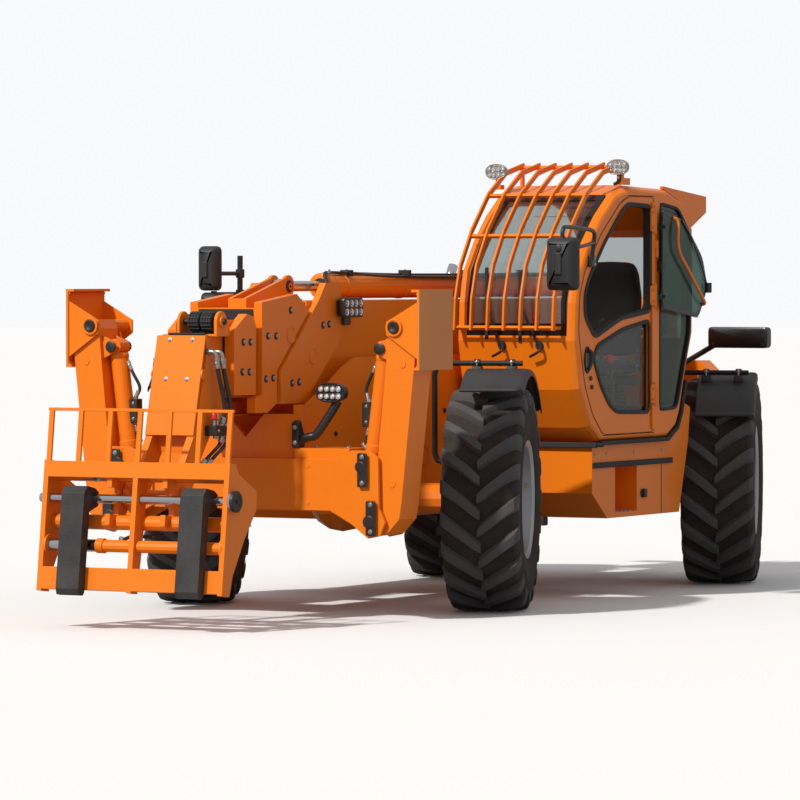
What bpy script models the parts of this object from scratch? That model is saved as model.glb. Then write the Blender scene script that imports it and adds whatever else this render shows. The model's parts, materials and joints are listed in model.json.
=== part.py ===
"""Rough-terrain telehandler with crab steering, folded stabilisers and a four-section boom.

Metres, +Z up. The machine faces -Y and its left side is +X. Places below are in the machine's
own frame, whose origin is on the ground midway between the wheels; one empty carries them all
so that the finished object stands with its box centred on the world origin.
"""
import math

import bmesh
import bpy
from mathutils import Matrix, Vector

# Clearances
TOUCH = 0.0003          # between pieces that rest on each other
PIN_PLAY = 0.0010       # between a turning bore and its pin
SLIDE_PLAY = 0.0003     # between a rod and its barrel
RUN = 0.006             # between pieces that move past each other

# Wheels, axles and steering
TYRE_RADIUS = 0.625
TYRE_WIDTH = 0.45
RIM_RADIUS = 0.308
RIM_WIDTH = 0.39
KINGPIN_X = 0.80
WHEEL_OFFSET = 0.13
WHEEL_SIDES = 24
FRONT_AXLE_Y = -1.565
REAR_AXLE_Y = 1.53
FRONT_STEER = math.radians(20)
REAR_STEER = math.radians(21)
AXLE_TUBE_RADIUS = 0.085
KINGPIN_HALF = 0.125
FENDER_RADIUS = 0.72
FENDER_IN = 0.0
FENDER_OUT = 0.355
FENDER_SHEET = 0.010
FENDER_TUBE_RADIUS = 0.0175
TUBE_FLAT = math.cos(math.pi / 6)   # a bent tube has six flats
REAR_FENDER_RADIUS = 0.66
REAR_FENDER_TUBE = (-0.26, 0.660)
HUB_FACE = 0.128
KINGPIN_FACE = HUB_FACE + 0.0005 - WHEEL_OFFSET
EAR_THICK = 0.045

# Main frame
FRAME_HALF = 0.30
FRAME_PLATE = 0.02
FRAME_TOP = 1.42
FRAME_BOTTOM = 0.56
NOSE_FRONT = -2.735
NOSE_BACK = -2.42
NOSE_HALF = 0.69

# Boom
PIVOT_Y = 2.0
PIVOT_Z = 1.575
BOOM_HALF = 0.20
BOOM_LOW = 1.19
BOOM_WALL = 0.010
SECTION_WALL = 0.008
SECTION_GAP = 0.0125
OUTER_FRONT = -2.35
OUTER_BACK = 2.15
SECTION_FRONTS = (-2.89, -3.167, -3.40)
SECTION_TOPS = (1.735, 1.700, 1.635, 1.560)
SECTION_BACKS = (1.85, 1.65, 1.45)
BOOM_PIN_RADIUS = 0.05
EXTENSION_Z = 1.815
EXTENSION_RADIUS = 0.070
EXTENSION_ROD = 0.030
LIFT_EYE = (1.0, 1.12)
LIFT_FOOT = (-0.3, 0.70)
LIFT_RADIUS = 0.075
LIFT_ROD = 0.040

# Fork carriage, in its own tilted frame about the tilt pin
TILT_PIN_Y = -3.66
TILT_PIN_Z = 0.70
TILT_PIN_RADIUS = 0.035
CARRIAGE_LEAN = math.radians(-7.2)
CARRIAGE_HALF = 0.57
CARRIAGE_FACE = -0.207
CARRIAGE_BAR = 0.057
SHAFT_AT = (-0.165, -0.03)
SHAFT_RADIUS = 0.025
FORK_WIDTH = 0.14
FORK_HEEL = 0.075        # from the shaft down to where the shank meets the carriage
FORK_PLACES = (("left_fork", 0.39), ("right_fork", -0.34))

# Stabilisers
STABILISER_Y = -2.62
LEG_HALF = 0.10
LEG_PIN = (0.816, 0.545)
LEG_PIN_RADIUS = 0.035
RAM_TOP = (0.845, 1.48)
RAM_FOOT = (0.764, 0.842)
RAM_RADIUS = 0.050
RAM_ROD = 0.025
RAM_PIN_RADIUS = 0.020
FOOT_PIN = (0.955, 1.595)

# Cab
CAB_IN = 0.34
CAB_OUT = 1.08
CAB_WALL = 0.04
CAB_ROUND = 0.10
CORNER_IN = 0.035
CAB_FLOOR = 0.91
DOOR_GAP = 0.005
DOOR_HINGE_Y = 0.2665
DOOR_HINGE_X = CAB_OUT + 0.014
GLASS = 0.006
STEP_HEIGHT = 0.50
HINGE_RADIUS = 0.012
HINGE_HEIGHTS = (1.12, 1.98)

# Engine side
BAY_IN = -FRAME_HALF - TOUCH
BAY_OUT = -1.06
BAY_FRONT = -0.76
BAY_BACK = 0.75
BAY_BOTTOM = 0.45
BAY_RIM = 0.955
HOOD_TOP = 1.45
BAY_SHEET = 0.025

# The machine's origin lies this far behind the centre of its box
SET_BACK = 0.788

ORANGE = (0.80, 0.22, 0.02)
BLACK = (0.02, 0.02, 0.02)
RUBBER = (0.03, 0.028, 0.026)
CHROME = (0.75, 0.76, 0.78)
SILVER = (0.42, 0.43, 0.44)
GREY = (0.12, 0.12, 0.125)
TINT = (0.05, 0.07, 0.07)

for old in list(bpy.data.objects):
    bpy.data.objects.remove(old)

PARTS = bpy.data.collections.new("telehandler")
CUTTERS = bpy.data.collections.new("cutters")
for collection in (PARTS, CUTTERS):
    bpy.context.scene.collection.children.link(collection)
CUTTERS.hide_render = True
WORLD = {}


# ---------------------------------------------------------------- tools
def helper(mesh):
    obj = bpy.data.objects.new("shape", mesh)
    obj.hide_render = True
    obj.display_type = "WIRE"
    CUTTERS.objects.link(obj)
    return obj


def from_bmesh(bm):
    bmesh.ops.recalc_face_normals(bm, faces=bm.faces)
    mesh = bpy.data.meshes.new("shape")
    bm.to_mesh(mesh)
    bm.free()
    return helper(mesh)


def as_mesh(obj, matrix=None):
    """Turns a curve or a modified object into a welded mesh helper."""
    graph = bpy.context.evaluated_depsgraph_get()
    mesh = bpy.data.meshes.new_from_object(obj.evaluated_get(graph))
    if matrix is not None:
        mesh.transform(matrix)
    bm = bmesh.new()
    bm.from_mesh(mesh)
    bmesh.ops.remove_doubles(bm, verts=bm.verts, dist=1e-5)
    bpy.data.objects.remove(obj)
    return from_bmesh(bm)


def block(low, high):
    low, high = Vector(low), Vector(high)
    bm = bmesh.new()
    size = high - low
    place = Matrix.Translation((low + high) / 2) @ Matrix.Diagonal((*size, 1))
    bmesh.ops.create_cube(bm, size=1, matrix=place)
    return from_bmesh(bm)


def pair(low, high):
    """Two like blocks, one each side of the middle plane."""
    twin_low = (-high[0], low[1], low[2])
    twin_high = (-low[0], high[1], high[2])
    return [block(low, high), block(twin_low, twin_high)]


def rod(start, end, radius, sides=12):
    start, end = Vector(start), Vector(end)
    along = end - start
    turn = along.to_track_quat("Z", "Y").to_matrix().to_4x4()
    bm = bmesh.new()
    bmesh.ops.create_cone(
        bm, cap_ends=True, segments=sides, radius1=radius, radius2=radius,
        depth=along.length, matrix=Matrix.Translation((start + end) / 2) @ turn)
    return from_bmesh(bm)


def cross_rod(y, z, half, radius, sides=12):
    return rod((-half, y, z), (half, y, z), radius, sides)


def ball(centre, radius):
    bm = bmesh.new()
    bmesh.ops.create_uvsphere(
        bm, u_segments=12, v_segments=8, radius=radius, matrix=Matrix.Translation(centre))
    return from_bmesh(bm)


PLANES = {
    "X": Matrix(((0, 0, 1, 0), (1, 0, 0, 0), (0, 1, 0, 0), (0, 0, 0, 1))),
    "Y": Matrix(((1, 0, 0, 0), (0, 0, -1, 0), (0, 1, 0, 0), (0, 0, 0, 1))),
    "Z": Matrix.Identity(4),
}


def plate(axis, outline, low, high, holes=()):
    """A flat outline in the two other axes, from low to high along this axis."""
    curve = bpy.data.curves.new("outline", "CURVE")
    curve.dimensions = "2D"
    curve.fill_mode = "BOTH"
    curve.extrude = abs(high - low) / 2
    for points in (outline, *holes):
        spline = curve.splines.new("POLY")
        spline.points.add(len(points) - 1)
        for point, (across, up) in zip(spline.points, points):
            point.co = (across, up, 0, 1)
        spline.use_cyclic_u = True
    obj = bpy.data.objects.new("outline", curve)
    CUTTERS.objects.link(obj)
    middle = [0, 0, 0]
    middle["XYZ".index(axis)] = (low + high) / 2
    return as_mesh(obj, Matrix.Translation(middle) @ PLANES[axis])


def plate_pair(axis, outline, low, high, holes=()):
    return [plate(axis, outline, low, high, holes), plate(axis, outline, -high, -low, holes)]


def circle(centre, radius, sides=24):
    step = 2 * math.pi / sides
    return [(centre[0] + radius * math.cos(step * i), centre[1] + radius * math.sin(step * i))
            for i in range(sides)]


def pipe(points, radius, corner=0.05, steps=2):
    """A bent round tube through these points, its corners rounded."""
    path = [Vector(points[0])]
    for before, here, after in zip(points, points[1:], points[2:]):
        before, here, after = Vector(before), Vector(here), Vector(after)
        into, out = (before - here).normalized(), (after - here).normalized()
        reach = min(corner, (before - here).length / 2, (after - here).length / 2)
        for i in range(steps + 1):
            t = i / steps
            first, last = here + into * reach, here + out * reach
            path.append(first * (1 - t) ** 2 + here * (2 * t * (1 - t)) + last * t * t)
    path.append(Vector(points[-1]))
    curve = bpy.data.curves.new("pipe", "CURVE")
    curve.dimensions = "3D"
    curve.bevel_depth = radius
    curve.bevel_resolution = 1
    curve.use_fill_caps = True
    spline = curve.splines.new("POLY")
    spline.points.add(len(path) - 1)
    for point, place in zip(spline.points, path):
        point.co = (*place, 1)
    obj = bpy.data.objects.new("pipe", curve)
    CUTTERS.objects.link(obj)
    return as_mesh(obj)


def turned(profile, steps=32, closed=False):
    """A profile of (along X, radius) points turned about X."""
    mesh = bpy.data.meshes.new("profile")
    count = len(profile)
    edges = [(i, i + 1) for i in range(count - 1)] + ([(count - 1, 0)] if closed else [])
    mesh.from_pydata([(x, r, 0) for x, r in profile], edges, [])
    obj = bpy.data.objects.new("profile", mesh)
    CUTTERS.objects.link(obj)
    screw = obj.modifiers.new("Screw", "SCREW")
    screw.axis = "X"
    screw.steps = screw.render_steps = steps
    screw.use_merge_vertices = True
    screw.merge_threshold = 1e-5
    return as_mesh(obj)


def strip(path, thickness, offset=0.0):
    """The outline of a sheet that follows an open path: its two faces, offset to the left."""
    sides = []
    for shift in (offset, offset + thickness):
        line = []
        for i, (a, b) in enumerate(path):
            directions = []
            if i:
                directions.append(Vector(path[i]) - Vector(path[i - 1]))
            if i < len(path) - 1:
                directions.append(Vector(path[i + 1]) - Vector(path[i]))
            normals = [Vector((-d[1], d[0])).normalized() for d in directions]
            mean = sum(normals, Vector((0, 0))).normalized()
            stretch = shift / mean.dot(normals[0])
            line.append((a + mean[0] * stretch, b + mean[1] * stretch))
        sides.append(line)
    return sides[0] + sides[1][::-1]


def inset(outline, distance):
    """A closed outline moved inwards by this distance."""
    area = sum(a[0] * b[1] - b[0] * a[1] for a, b in zip(outline, outline[1:] + outline[:1]))
    sign = 1 if area > 0 else -1
    result = []
    count = len(outline)
    for i in range(count):
        before, here, after = (Vector(outline[j % count]) for j in (i - 1, i, i + 1))
        first, last = (here - before).normalized(), (after - here).normalized()
        normals = [Vector((-d[1], d[0])) * sign for d in (first, last)]
        mean = (normals[0] + normals[1]).normalized()
        move = mean * (distance / mean.dot(normals[0]))
        result.append((here[0] + move[0], here[1] + move[1]))
    return result


def gather(name, shapes):
    group = bpy.data.collections.new(name)
    for shape in shapes:
        group.objects.link(shape)
    return group


def combine(shapes, cuts=()):
    """One body: the first shape joined with the others, less the cuts."""
    base = shapes[0]
    for operation, others in (("UNION", shapes[1:]), ("DIFFERENCE", cuts)):
        if others:
            modifier = base.modifiers.new(operation, "BOOLEAN")
            modifier.operation = operation
            modifier.solver = "EXACT"
            modifier.operand_type = "COLLECTION"
            modifier.collection = gather(operation, others)
    graph = bpy.context.evaluated_depsgraph_get()
    mesh = bpy.data.meshes.new_from_object(base.evaluated_get(graph))
    for shape in [*shapes, *cuts]:
        bpy.data.objects.remove(shape)
    return mesh


def paint(name, colour, roughness, metallic):
    material = bpy.data.materials.new(name)
    material.use_nodes = True
    shader = material.node_tree.nodes["Principled BSDF"]
    shader.inputs["Base Color"].default_value = (*colour, 1)
    shader.inputs["Roughness"].default_value = roughness
    shader.inputs["Metallic"].default_value = metallic
    return material


FINISHES = {
    "orange": (ORANGE, 0.35, 0.0), "black": (BLACK, 0.45, 0.0), "rubber": (RUBBER, 0.85, 0.0),
    "chrome": (CHROME, 0.12, 1.0), "silver": (SILVER, 0.4, 0.6), "grey": (GREY, 0.5, 0.4),
    "glass": (TINT, 0.05, 0.0), "seat": (BLACK, 0.8, 0.0),
}


def carrier(name, place, parent=None, turn=(0, 0, 0)):
    """An empty at a joint's axis, or one that holds a group of pieces."""
    empty = bpy.data.objects.new(name, None)
    PARTS.objects.link(empty)
    empty.parent = parent
    empty.location = place
    empty.rotation_euler = turn
    local = Matrix.Translation(place)
    for angle, axis in zip(turn, "XYZ"):
        local = local @ Matrix.Rotation(angle, 4, axis)
    WORLD[name] = (WORLD[parent.name] if parent else Matrix.Identity(4)) @ local
    return empty


def piece(name, finish, parent, shapes, cuts=(), local=False, smooth=False):
    """A finished sub-part. Its shapes are in the machine's frame, or in its parent's if local."""
    mesh = combine(list(shapes), list(cuts))
    if not local:
        mesh.transform(WORLD[parent.name].inverted() @ WORLD["machine"])
    mesh.name = name
    mesh.materials.clear()
    mesh.materials.append(paint(name, *FINISHES[finish]))
    if smooth:
        mesh.shade_smooth()
        mesh.set_sharp_from_angle(angle=math.radians(35))
    else:
        mesh.shade_flat()
    obj = bpy.data.objects.new(name, mesh)
    PARTS.objects.link(obj)
    obj.parent = parent
    return obj


def flipped(outline):
    return [(-a, b) for a, b in outline]


def sided(side, low, high):
    """A block given for the left side, put on this side."""
    if side > 0:
        return block(low, high)
    return block((-high[0], low[1], low[2]), (-low[0], high[1], high[2]))


def across(side, outline):
    return outline if side > 0 else flipped(outline)


MACHINE = carrier("machine", (0, SET_BACK, 0))


# ---------------------------------------------------------------- wheels and steering
def rim_profile():
    half = RIM_WIDTH / 2
    inner = RIM_RADIUS - 0.022
    disc = KINGPIN_FACE
    return [(0.065, 0), (0.065, 0.09), (0.032, 0.13), (0.032, 0.25), (half, inner),
            (half + 0.01, RIM_RADIUS + 0.022), (half - 0.015, RIM_RADIUS),
            (0.015 - half, RIM_RADIUS), (-half - 0.01, RIM_RADIUS + 0.022), (-half, inner),
            (-0.02, inner), (disc, inner - 0.03), (disc, 0)]


def tyre_profile():
    half = TYRE_WIDTH / 2
    bead = RIM_WIDTH / 2 - 0.018
    tall = TYRE_RADIUS - RIM_RADIUS
    right = [(bead, RIM_RADIUS + TOUCH), (half - 0.01, RIM_RADIUS + 0.28 * tall),
             (half, RIM_RADIUS + 0.6 * tall), (half - 0.025, RIM_RADIUS + 0.92 * tall),
             (0, TYRE_RADIUS)]
    return right + [(-x, r) for x, r in right[-2::-1]]


def knuckle_shapes(side, toward_middle, bar):
    """The swivel housing round the axle's end, with the tube that carries its fender."""
    low, high = KINGPIN_HALF + 0.0005, KINGPIN_HALF + 0.0005 + EAR_THICK
    shapes = [sided(side, (0.085, -0.07, -high), (HUB_FACE - 0.001, 0.07, high))]
    for bottom, top in ((low, high), (-high, -low)):
        shapes.append(sided(side, (0, -0.07, bottom), (0.10, 0.07, top)))
        shapes.append(rod((0, 0, bottom), (0, 0, top), 0.07))
    shapes.append(rod((side * 0.10, 0, 0), (side * HUB_FACE, 0, 0), 0.14, 24))
    arm = sorted((toward_middle * 0.04, toward_middle * 0.22))
    shapes.append(block((-0.03, arm[0], -high), (0.03, arm[1], -low)))
    post = side * -0.19
    tube = [(0, 0, high - 0.01), (side * -0.05, 0, high + 0.03), (post, 0, high + 0.03),
            (post, bar[0], bar[1]), (side * (FENDER_OUT - 0.05), bar[0], bar[1])]
    shapes.append(pipe(tube, FENDER_TUBE_RADIUS, 0.06))
    return shapes


def arc(radius, first, last, count):
    """Points (Y, Z) on an arc about the wheel's axis; angles from the top, towards the rear."""
    angles = [math.radians(first + (last - first) * i / (count - 1)) for i in range(count)]
    return [(radius * math.sin(a), radius * math.cos(a)) for a in angles]


def fender_shapes(side, line, bar, radius):
    low, high = sorted((side * FENDER_IN, side * FENDER_OUT))
    skirt_low, skirt_high = sorted((side * (FENDER_OUT - 0.008), side * FENDER_OUT))
    shapes = [plate("X", strip(line, FENDER_SHEET), low, high),
              plate("X", strip(line, FENDER_SHEET + 0.03, -0.03), skirt_low, skirt_high)]
    sheet = math.sqrt(radius ** 2 - bar[0] ** 2) + 0.004
    seat = bar[1] - FENDER_TUBE_RADIUS * TUBE_FLAT - TOUCH
    for x in (FENDER_IN + 0.05, FENDER_OUT - 0.11):
        shapes.append(sided(side, (x - 0.02, bar[0] - 0.015, sheet), (x + 0.02, bar[0] + 0.015, seat)))
    return shapes


def wheels():
    front_line = arc(FENDER_RADIUS, -32, 48, 9)
    rear_line = [*arc(REAR_FENDER_RADIUS, -52, -22, 5), (-0.13, 0.637)]
    front_bar = (0, FENDER_RADIUS + FENDER_SHEET + 0.012 + FENDER_TUBE_RADIUS)
    front = (FRONT_AXLE_Y, FRONT_STEER, 1, front_line, front_bar, FENDER_RADIUS)
    rear = (REAR_AXLE_Y, REAR_STEER, -1, rear_line, REAR_FENDER_TUBE, REAR_FENDER_RADIUS)
    corners = (("front_left", 1, *front), ("front_right", -1, *front),
               ("rear_left", 1, *rear), ("rear_right", -1, *rear))
    for name, side, y, steer, middle, line, bar, radius in corners:
        pin = carrier(name + "_kingpin", (side * KINGPIN_X, y, TYRE_RADIUS), MACHINE, (0, 0, steer))
        hub = carrier(name + "_hub", (side * WHEEL_OFFSET, 0, 0), pin)
        piece(name + "_knuckle", "orange", pin, knuckle_shapes(side, middle, bar), local=True)
        piece(name + "_fender", "black", pin, fender_shapes(side, line, bar, radius), local=True)
        rim = [(side * x, r) for x, r in rim_profile()]
        tyre = [(side * x, r) for x, r in tyre_profile()]
        piece(name + "_rim", "silver", hub, [turned(rim, WHEEL_SIDES)], local=True, smooth=True)
        piece(name + "_tyre", "rubber", hub, [turned(tyre, WHEEL_SIDES, True)], local=True, smooth=True)


def axle(name, y):
    z = TYRE_RADIUS
    shapes = [cross_rod(y, z, KINGPIN_X - 0.06, AXLE_TUBE_RADIUS), ball((0, y, z), 0.20)]
    for x in (-KINGPIN_X, KINGPIN_X):
        shapes.append(rod((x, y, z - KINGPIN_HALF), (x, y, z + KINGPIN_HALF), 0.07))
    shapes += pair((0.23, y - 0.09, z), (0.34, y + 0.09, z + KINGPIN_HALF - TOUCH))
    piece(name, "orange", MACHINE, shapes)


# ---------------------------------------------------------------- main frame
def frame_side_outline():
    arch = TYRE_RADIUS + KINGPIN_HALF
    low = FRAME_BOTTOM
    outline = [(-2.52, 1.17), (-2.27, 1.28), (-2.12, 1.36), (-1.97, FRAME_TOP),
               (1.35, FRAME_TOP), (1.60, 1.52), (1.80, PIVOT_Z + 0.17), (2.20, PIVOT_Z + 0.17),
               (2.258, 1.60), (2.258, low + 0.06), (2.18, low)]
    for y in (REAR_AXLE_Y, FRONT_AXLE_Y):
        outline += [(y + 0.17, low), (y + 0.12, arch), (y - 0.12, arch), (y - 0.17, low)]
    return outline + [(-2.35, low), (-2.52, low + 0.05)]


def stabiliser_ear(side):
    ear = [(0.55, 0.61), (0.55, 0.87), (0.70, 0.93), (0.82, 0.93), (0.862, 0.89), (0.868, 0.62),
           (0.905, 0.545), (0.875, 0.47), (0.80, 0.455), (0.70, 0.53)]
    shapes = []
    for low, high in ((-0.132, -0.112), (0.112, 0.132)):
        shapes.append(plate("Y", across(side, ear), STABILISER_Y + low, STABILISER_Y + high))
    x, z = side * LEG_PIN[0], LEG_PIN[1]
    shapes.append(rod((x, STABILISER_Y - 0.14, z), (x, STABILISER_Y + 0.14, z), LEG_PIN_RADIUS))
    x, z = side * RAM_FOOT[0], RAM_FOOT[1]
    for low, high in ((-0.145, -0.12), (0.12, 0.145)):
        shapes.append(rod((x, STABILISER_Y + low, z), (x, STABILISER_Y + high, z), 0.03))
    return shapes


def main_frame():
    inner = FRAME_HALF - FRAME_PLATE
    pin_bore = circle((PIVOT_Y, PIVOT_Z), BOOM_PIN_RADIUS + PIN_PLAY)
    shapes = plate_pair("X", frame_side_outline(), inner, FRAME_HALF, [pin_bore])
    half = FRAME_HALF - 0.005
    low = FRAME_BOTTOM
    shapes += [
        block((-NOSE_HALF, NOSE_FRONT, 0.60), (NOSE_HALF, NOSE_BACK, 0.878)),
        block((-half, -2.45, low + 0.02), (half, -2.28, 1.10)),
        block((-half, -1.25, low), (half, 1.15, low + 0.02)),
        block((-half, 2.10, low + 0.04), (half, 2.25, 1.12)),
        cross_rod(-1.95, 0.80, half, 0.055),
        cross_rod(-1.15, 0.85, half, 0.055),
    ]
    shapes += pair((0.33, -2.72, 0.86), (0.67, -2.45, 0.937))
    rest = [(-0.33, 0.86), (-0.33, 1.12), (-0.12, 1.12), (0, 0.99), (0.12, 1.12), (0.33, 1.12), (0.33, 0.86)]
    shapes.append(plate("Y", rest, -2.68, -2.64))
    gusset = [(-2.66, 0.87), (-2.66, 1.17), (-2.58, 1.17), (-2.40, 1.05), (-2.40, 0.87)]
    shapes += plate_pair("X", gusset, 0.29, 0.335)
    for x in (-0.06, 0.06):
        ear = [(-0.42, low), (-0.37, 0.76), (-0.23, 0.76), (-0.18, low)]
        shapes.append(plate("X", ear, x - 0.008, x + 0.008))
        shapes.append(rod((x - math.copysign(0.001, x), *LIFT_FOOT),
                          (x + math.copysign(0.03, x), *LIFT_FOOT), 0.03))
    for side in (1, -1):
        shapes += stabiliser_ear(side)
    piece("main_frame", "orange", MACHINE, shapes)


def counterweight():
    outline = [(-0.60, 0.60), (-0.60, 1.20), (-0.45, 1.34), (0.45, 1.34), (0.60, 1.20), (0.60, 0.60),
               (0.50, 0.50), (-0.50, 0.50)]
    shapes = [plate("Y", outline, 2.258 + TOUCH, 2.42)]
    piece("counterweight", "orange", MACHINE, shapes)


def step_box():
    """Tank and steps under the cab, with a toe recess and a panel that rises behind the cab."""
    under = strip(CAB_TAIL[:3], 0.1, -TOUCH)[:3]
    outline = [(-0.50, 0.62), (-0.50, CAB_FLOOR - TOUCH), *under, (0.735, 1.121), (0.834, 1.089),
               (0.806, 0.893), (0.681, 0.47), (-0.30, 0.47)]
    recess = block((0.906, -0.196, STEP_HEIGHT), (1.10, 0.097, STEP_HEIGHT + 0.27))
    piece("step_box", "orange", MACHINE, [plate("X", outline, FRAME_HALF + TOUCH, 1.05)], [recess])


def engine_side():
    low, rim = BAY_BOTTOM, BAY_RIM
    sheet = BAY_SHEET
    tub = block((BAY_OUT, BAY_FRONT, low), (BAY_IN, BAY_BACK, rim))
    hollow = block((BAY_OUT + sheet, BAY_FRONT + sheet, low + sheet),
                   (BAY_IN - sheet, BAY_BACK - sheet, rim + 0.1))
    wall = block((BAY_IN - sheet, BAY_FRONT + 0.01, rim - 0.02), (BAY_IN, BAY_BACK - 0.01, HOOD_TOP))
    hinge_x, hinge_z = BAY_IN - sheet - 0.010, HOOD_TOP + 0.020
    fixed = []
    lid_lugs = []
    for y in (-0.45, 0.35):
        fixed.append(rod((hinge_x, y, hinge_z), (hinge_x, y + 0.05, hinge_z), 0.014, 12))
        fixed.append(block((BAY_IN - sheet, y, HOOD_TOP - 0.01), (BAY_IN - 0.005, y + 0.05, hinge_z + 0.01)))
        lid_lugs.append(rod((hinge_x, y + 0.0505, hinge_z), (hinge_x, y + 0.10, hinge_z), 0.014, 12))
        lid_lugs.append(block((hinge_x - 0.03, y + 0.0505, HOOD_TOP - 0.005),
                              (hinge_x - 0.003, y + 0.10, hinge_z + 0.008)))
    tub_mesh = helper(combine([tub], [hollow]))
    piece("engine_bay", "orange", MACHINE, [tub_mesh, wall, *fixed])
    inner = BAY_IN - sheet - RUN
    lid = [(BAY_OUT, rim + TOUCH), (BAY_OUT, 1.33), (BAY_OUT + 0.10, HOOD_TOP), (inner, HOOD_TOP),
           (inner, rim + TOUCH)]
    room = [(BAY_OUT + 0.02, rim - 0.1), (BAY_OUT + 0.02, 1.32), (BAY_OUT + 0.11, HOOD_TOP - 0.02),
            (inner + 0.1, HOOD_TOP - 0.02), (inner + 0.1, rim - 0.1)]
    shell = plate("Y", lid, BAY_FRONT, BAY_BACK)
    space = plate("Y", room, BAY_FRONT + 0.02, BAY_BACK - 0.02)
    hollow_lid = helper(combine([shell], [space]))
    hinge = carrier("hood_hinge", (hinge_x, 0, hinge_z), MACHINE)
    piece("engine_hood", "orange", hinge, [hollow_lid, *lid_lugs])
    block_low = (BAY_OUT + 0.17, BAY_FRONT + 0.25, low + sheet + TOUCH)
    piece("engine_block", "grey", MACHINE, [block(block_low, (BAY_IN - 0.13, BAY_BACK - 0.35, 1.25))])


# ---------------------------------------------------------------- boom
def section_box(level):
    """Half width, bottom and top of the sliding sections, each inside the one before."""
    half, low = BOOM_HALF, BOOM_LOW
    wall = BOOM_WALL
    for _ in range(level):
        step = wall + SECTION_GAP
        half, low = half - step, low + step
        wall = SECTION_WALL
    return half, low, SECTION_TOPS[level]


def tube_shapes(level, front, back):
    half, low, high = section_box(level)
    wall = SECTION_WALL if level else BOOM_WALL
    outer = block((-half, front, low), (half, back, high))
    bore = block((-half + wall, front - 0.1, low + wall), (half - wall, back + 0.1, high - wall))
    return helper(combine([outer], [bore]))


def wear_pads(level, front):
    """Blocks inside a section's mouth that the next section slides on."""
    half, low, high = section_box(level + 1)
    y0, y1 = front + 0.02, front + 0.12
    reach = SECTION_GAP + 0.004
    inner_top = SECTION_TOPS[level] - (SECTION_WALL if level else BOOM_WALL)
    shapes = pair((half + TOUCH, y0, 1.36), (half + reach, y1, 1.50))
    shapes.append(block((-0.09, y0, low - reach), (0.09, y1, low - TOUCH)))
    shapes.append(block((-0.09, y0, high + TOUCH), (0.09, y1, inner_top + 0.004)))
    return shapes


COLLAR_OUTER = [(-2.276, 1.74), (-2.195, 1.834), (-2.057, 1.833), (-1.976, 1.672), (-1.929, 1.60),
                (-2.367, 1.234), (-2.368, 1.173), (-2.70, 1.175), (-2.712, 1.35)]
COLLAR_MIDDLE = [(-2.893, 1.73), (-2.893, 1.23), (-2.971, 1.21), (-2.971, 1.13), (-2.83, 1.13),
                 (-2.728, 1.18), (-2.728, 1.355), (-2.36, 1.685), (-2.43, 1.724), (-2.503, 1.774)]
COLLAR_INNER = [(-3.167, 1.58), (-3.167, 1.23), (-2.93, 1.228), (-2.925, 1.60), (-2.96, 1.655),
                (-3.025, 1.668), (-3.12, 1.61)]


def boom(lift):
    shapes = [tube_shapes(0, OUTER_FRONT, OUTER_BACK)]
    shapes += wear_pads(0, OUTER_FRONT)
    shapes += plate_pair("X", COLLAR_OUTER, BOOM_HALF - 0.002, BOOM_HALF + 0.038)
    shapes.append(cross_rod(PIVOT_Y, PIVOT_Z, FRAME_HALF + 0.02, BOOM_PIN_RADIUS))
    shapes.append(cross_rod(PIVOT_Y, PIVOT_Z, FRAME_HALF - FRAME_PLATE - RUN, 0.095))
    ear = [(0.85, BOOM_LOW + 0.005), (0.95, LIFT_EYE[1] - 0.05), (1.05, LIFT_EYE[1] - 0.05),
           (1.15, BOOM_LOW + 0.005)]
    shapes += plate_pair("X", ear, LIFT_RADIUS + RUN, LIFT_RADIUS + RUN + 0.02)
    eye_half = LIFT_RADIUS + RUN + 0.03
    shapes.append(cross_rod(*LIFT_EYE, eye_half, 0.03))
    for y in (-1.55, 0.0, 1.45):
        shapes.append(block((-0.05, y - 0.03, SECTION_TOPS[0] - 0.005),
                            (0.05, y + 0.03, EXTENSION_Z - EXTENSION_RADIUS - TOUCH)))
    piece("boom_outer", "orange", lift, shapes)
    barrel = rod((0, -1.80, EXTENSION_Z), (0, 1.75, EXTENSION_Z), EXTENSION_RADIUS, 20)
    bore = rod((0, -1.90, EXTENSION_Z), (0, 1.70, EXTENSION_Z), EXTENSION_ROD + SLIDE_PLAY)
    piece("extension_barrel", "orange", lift, [barrel], [bore], smooth=True)


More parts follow.
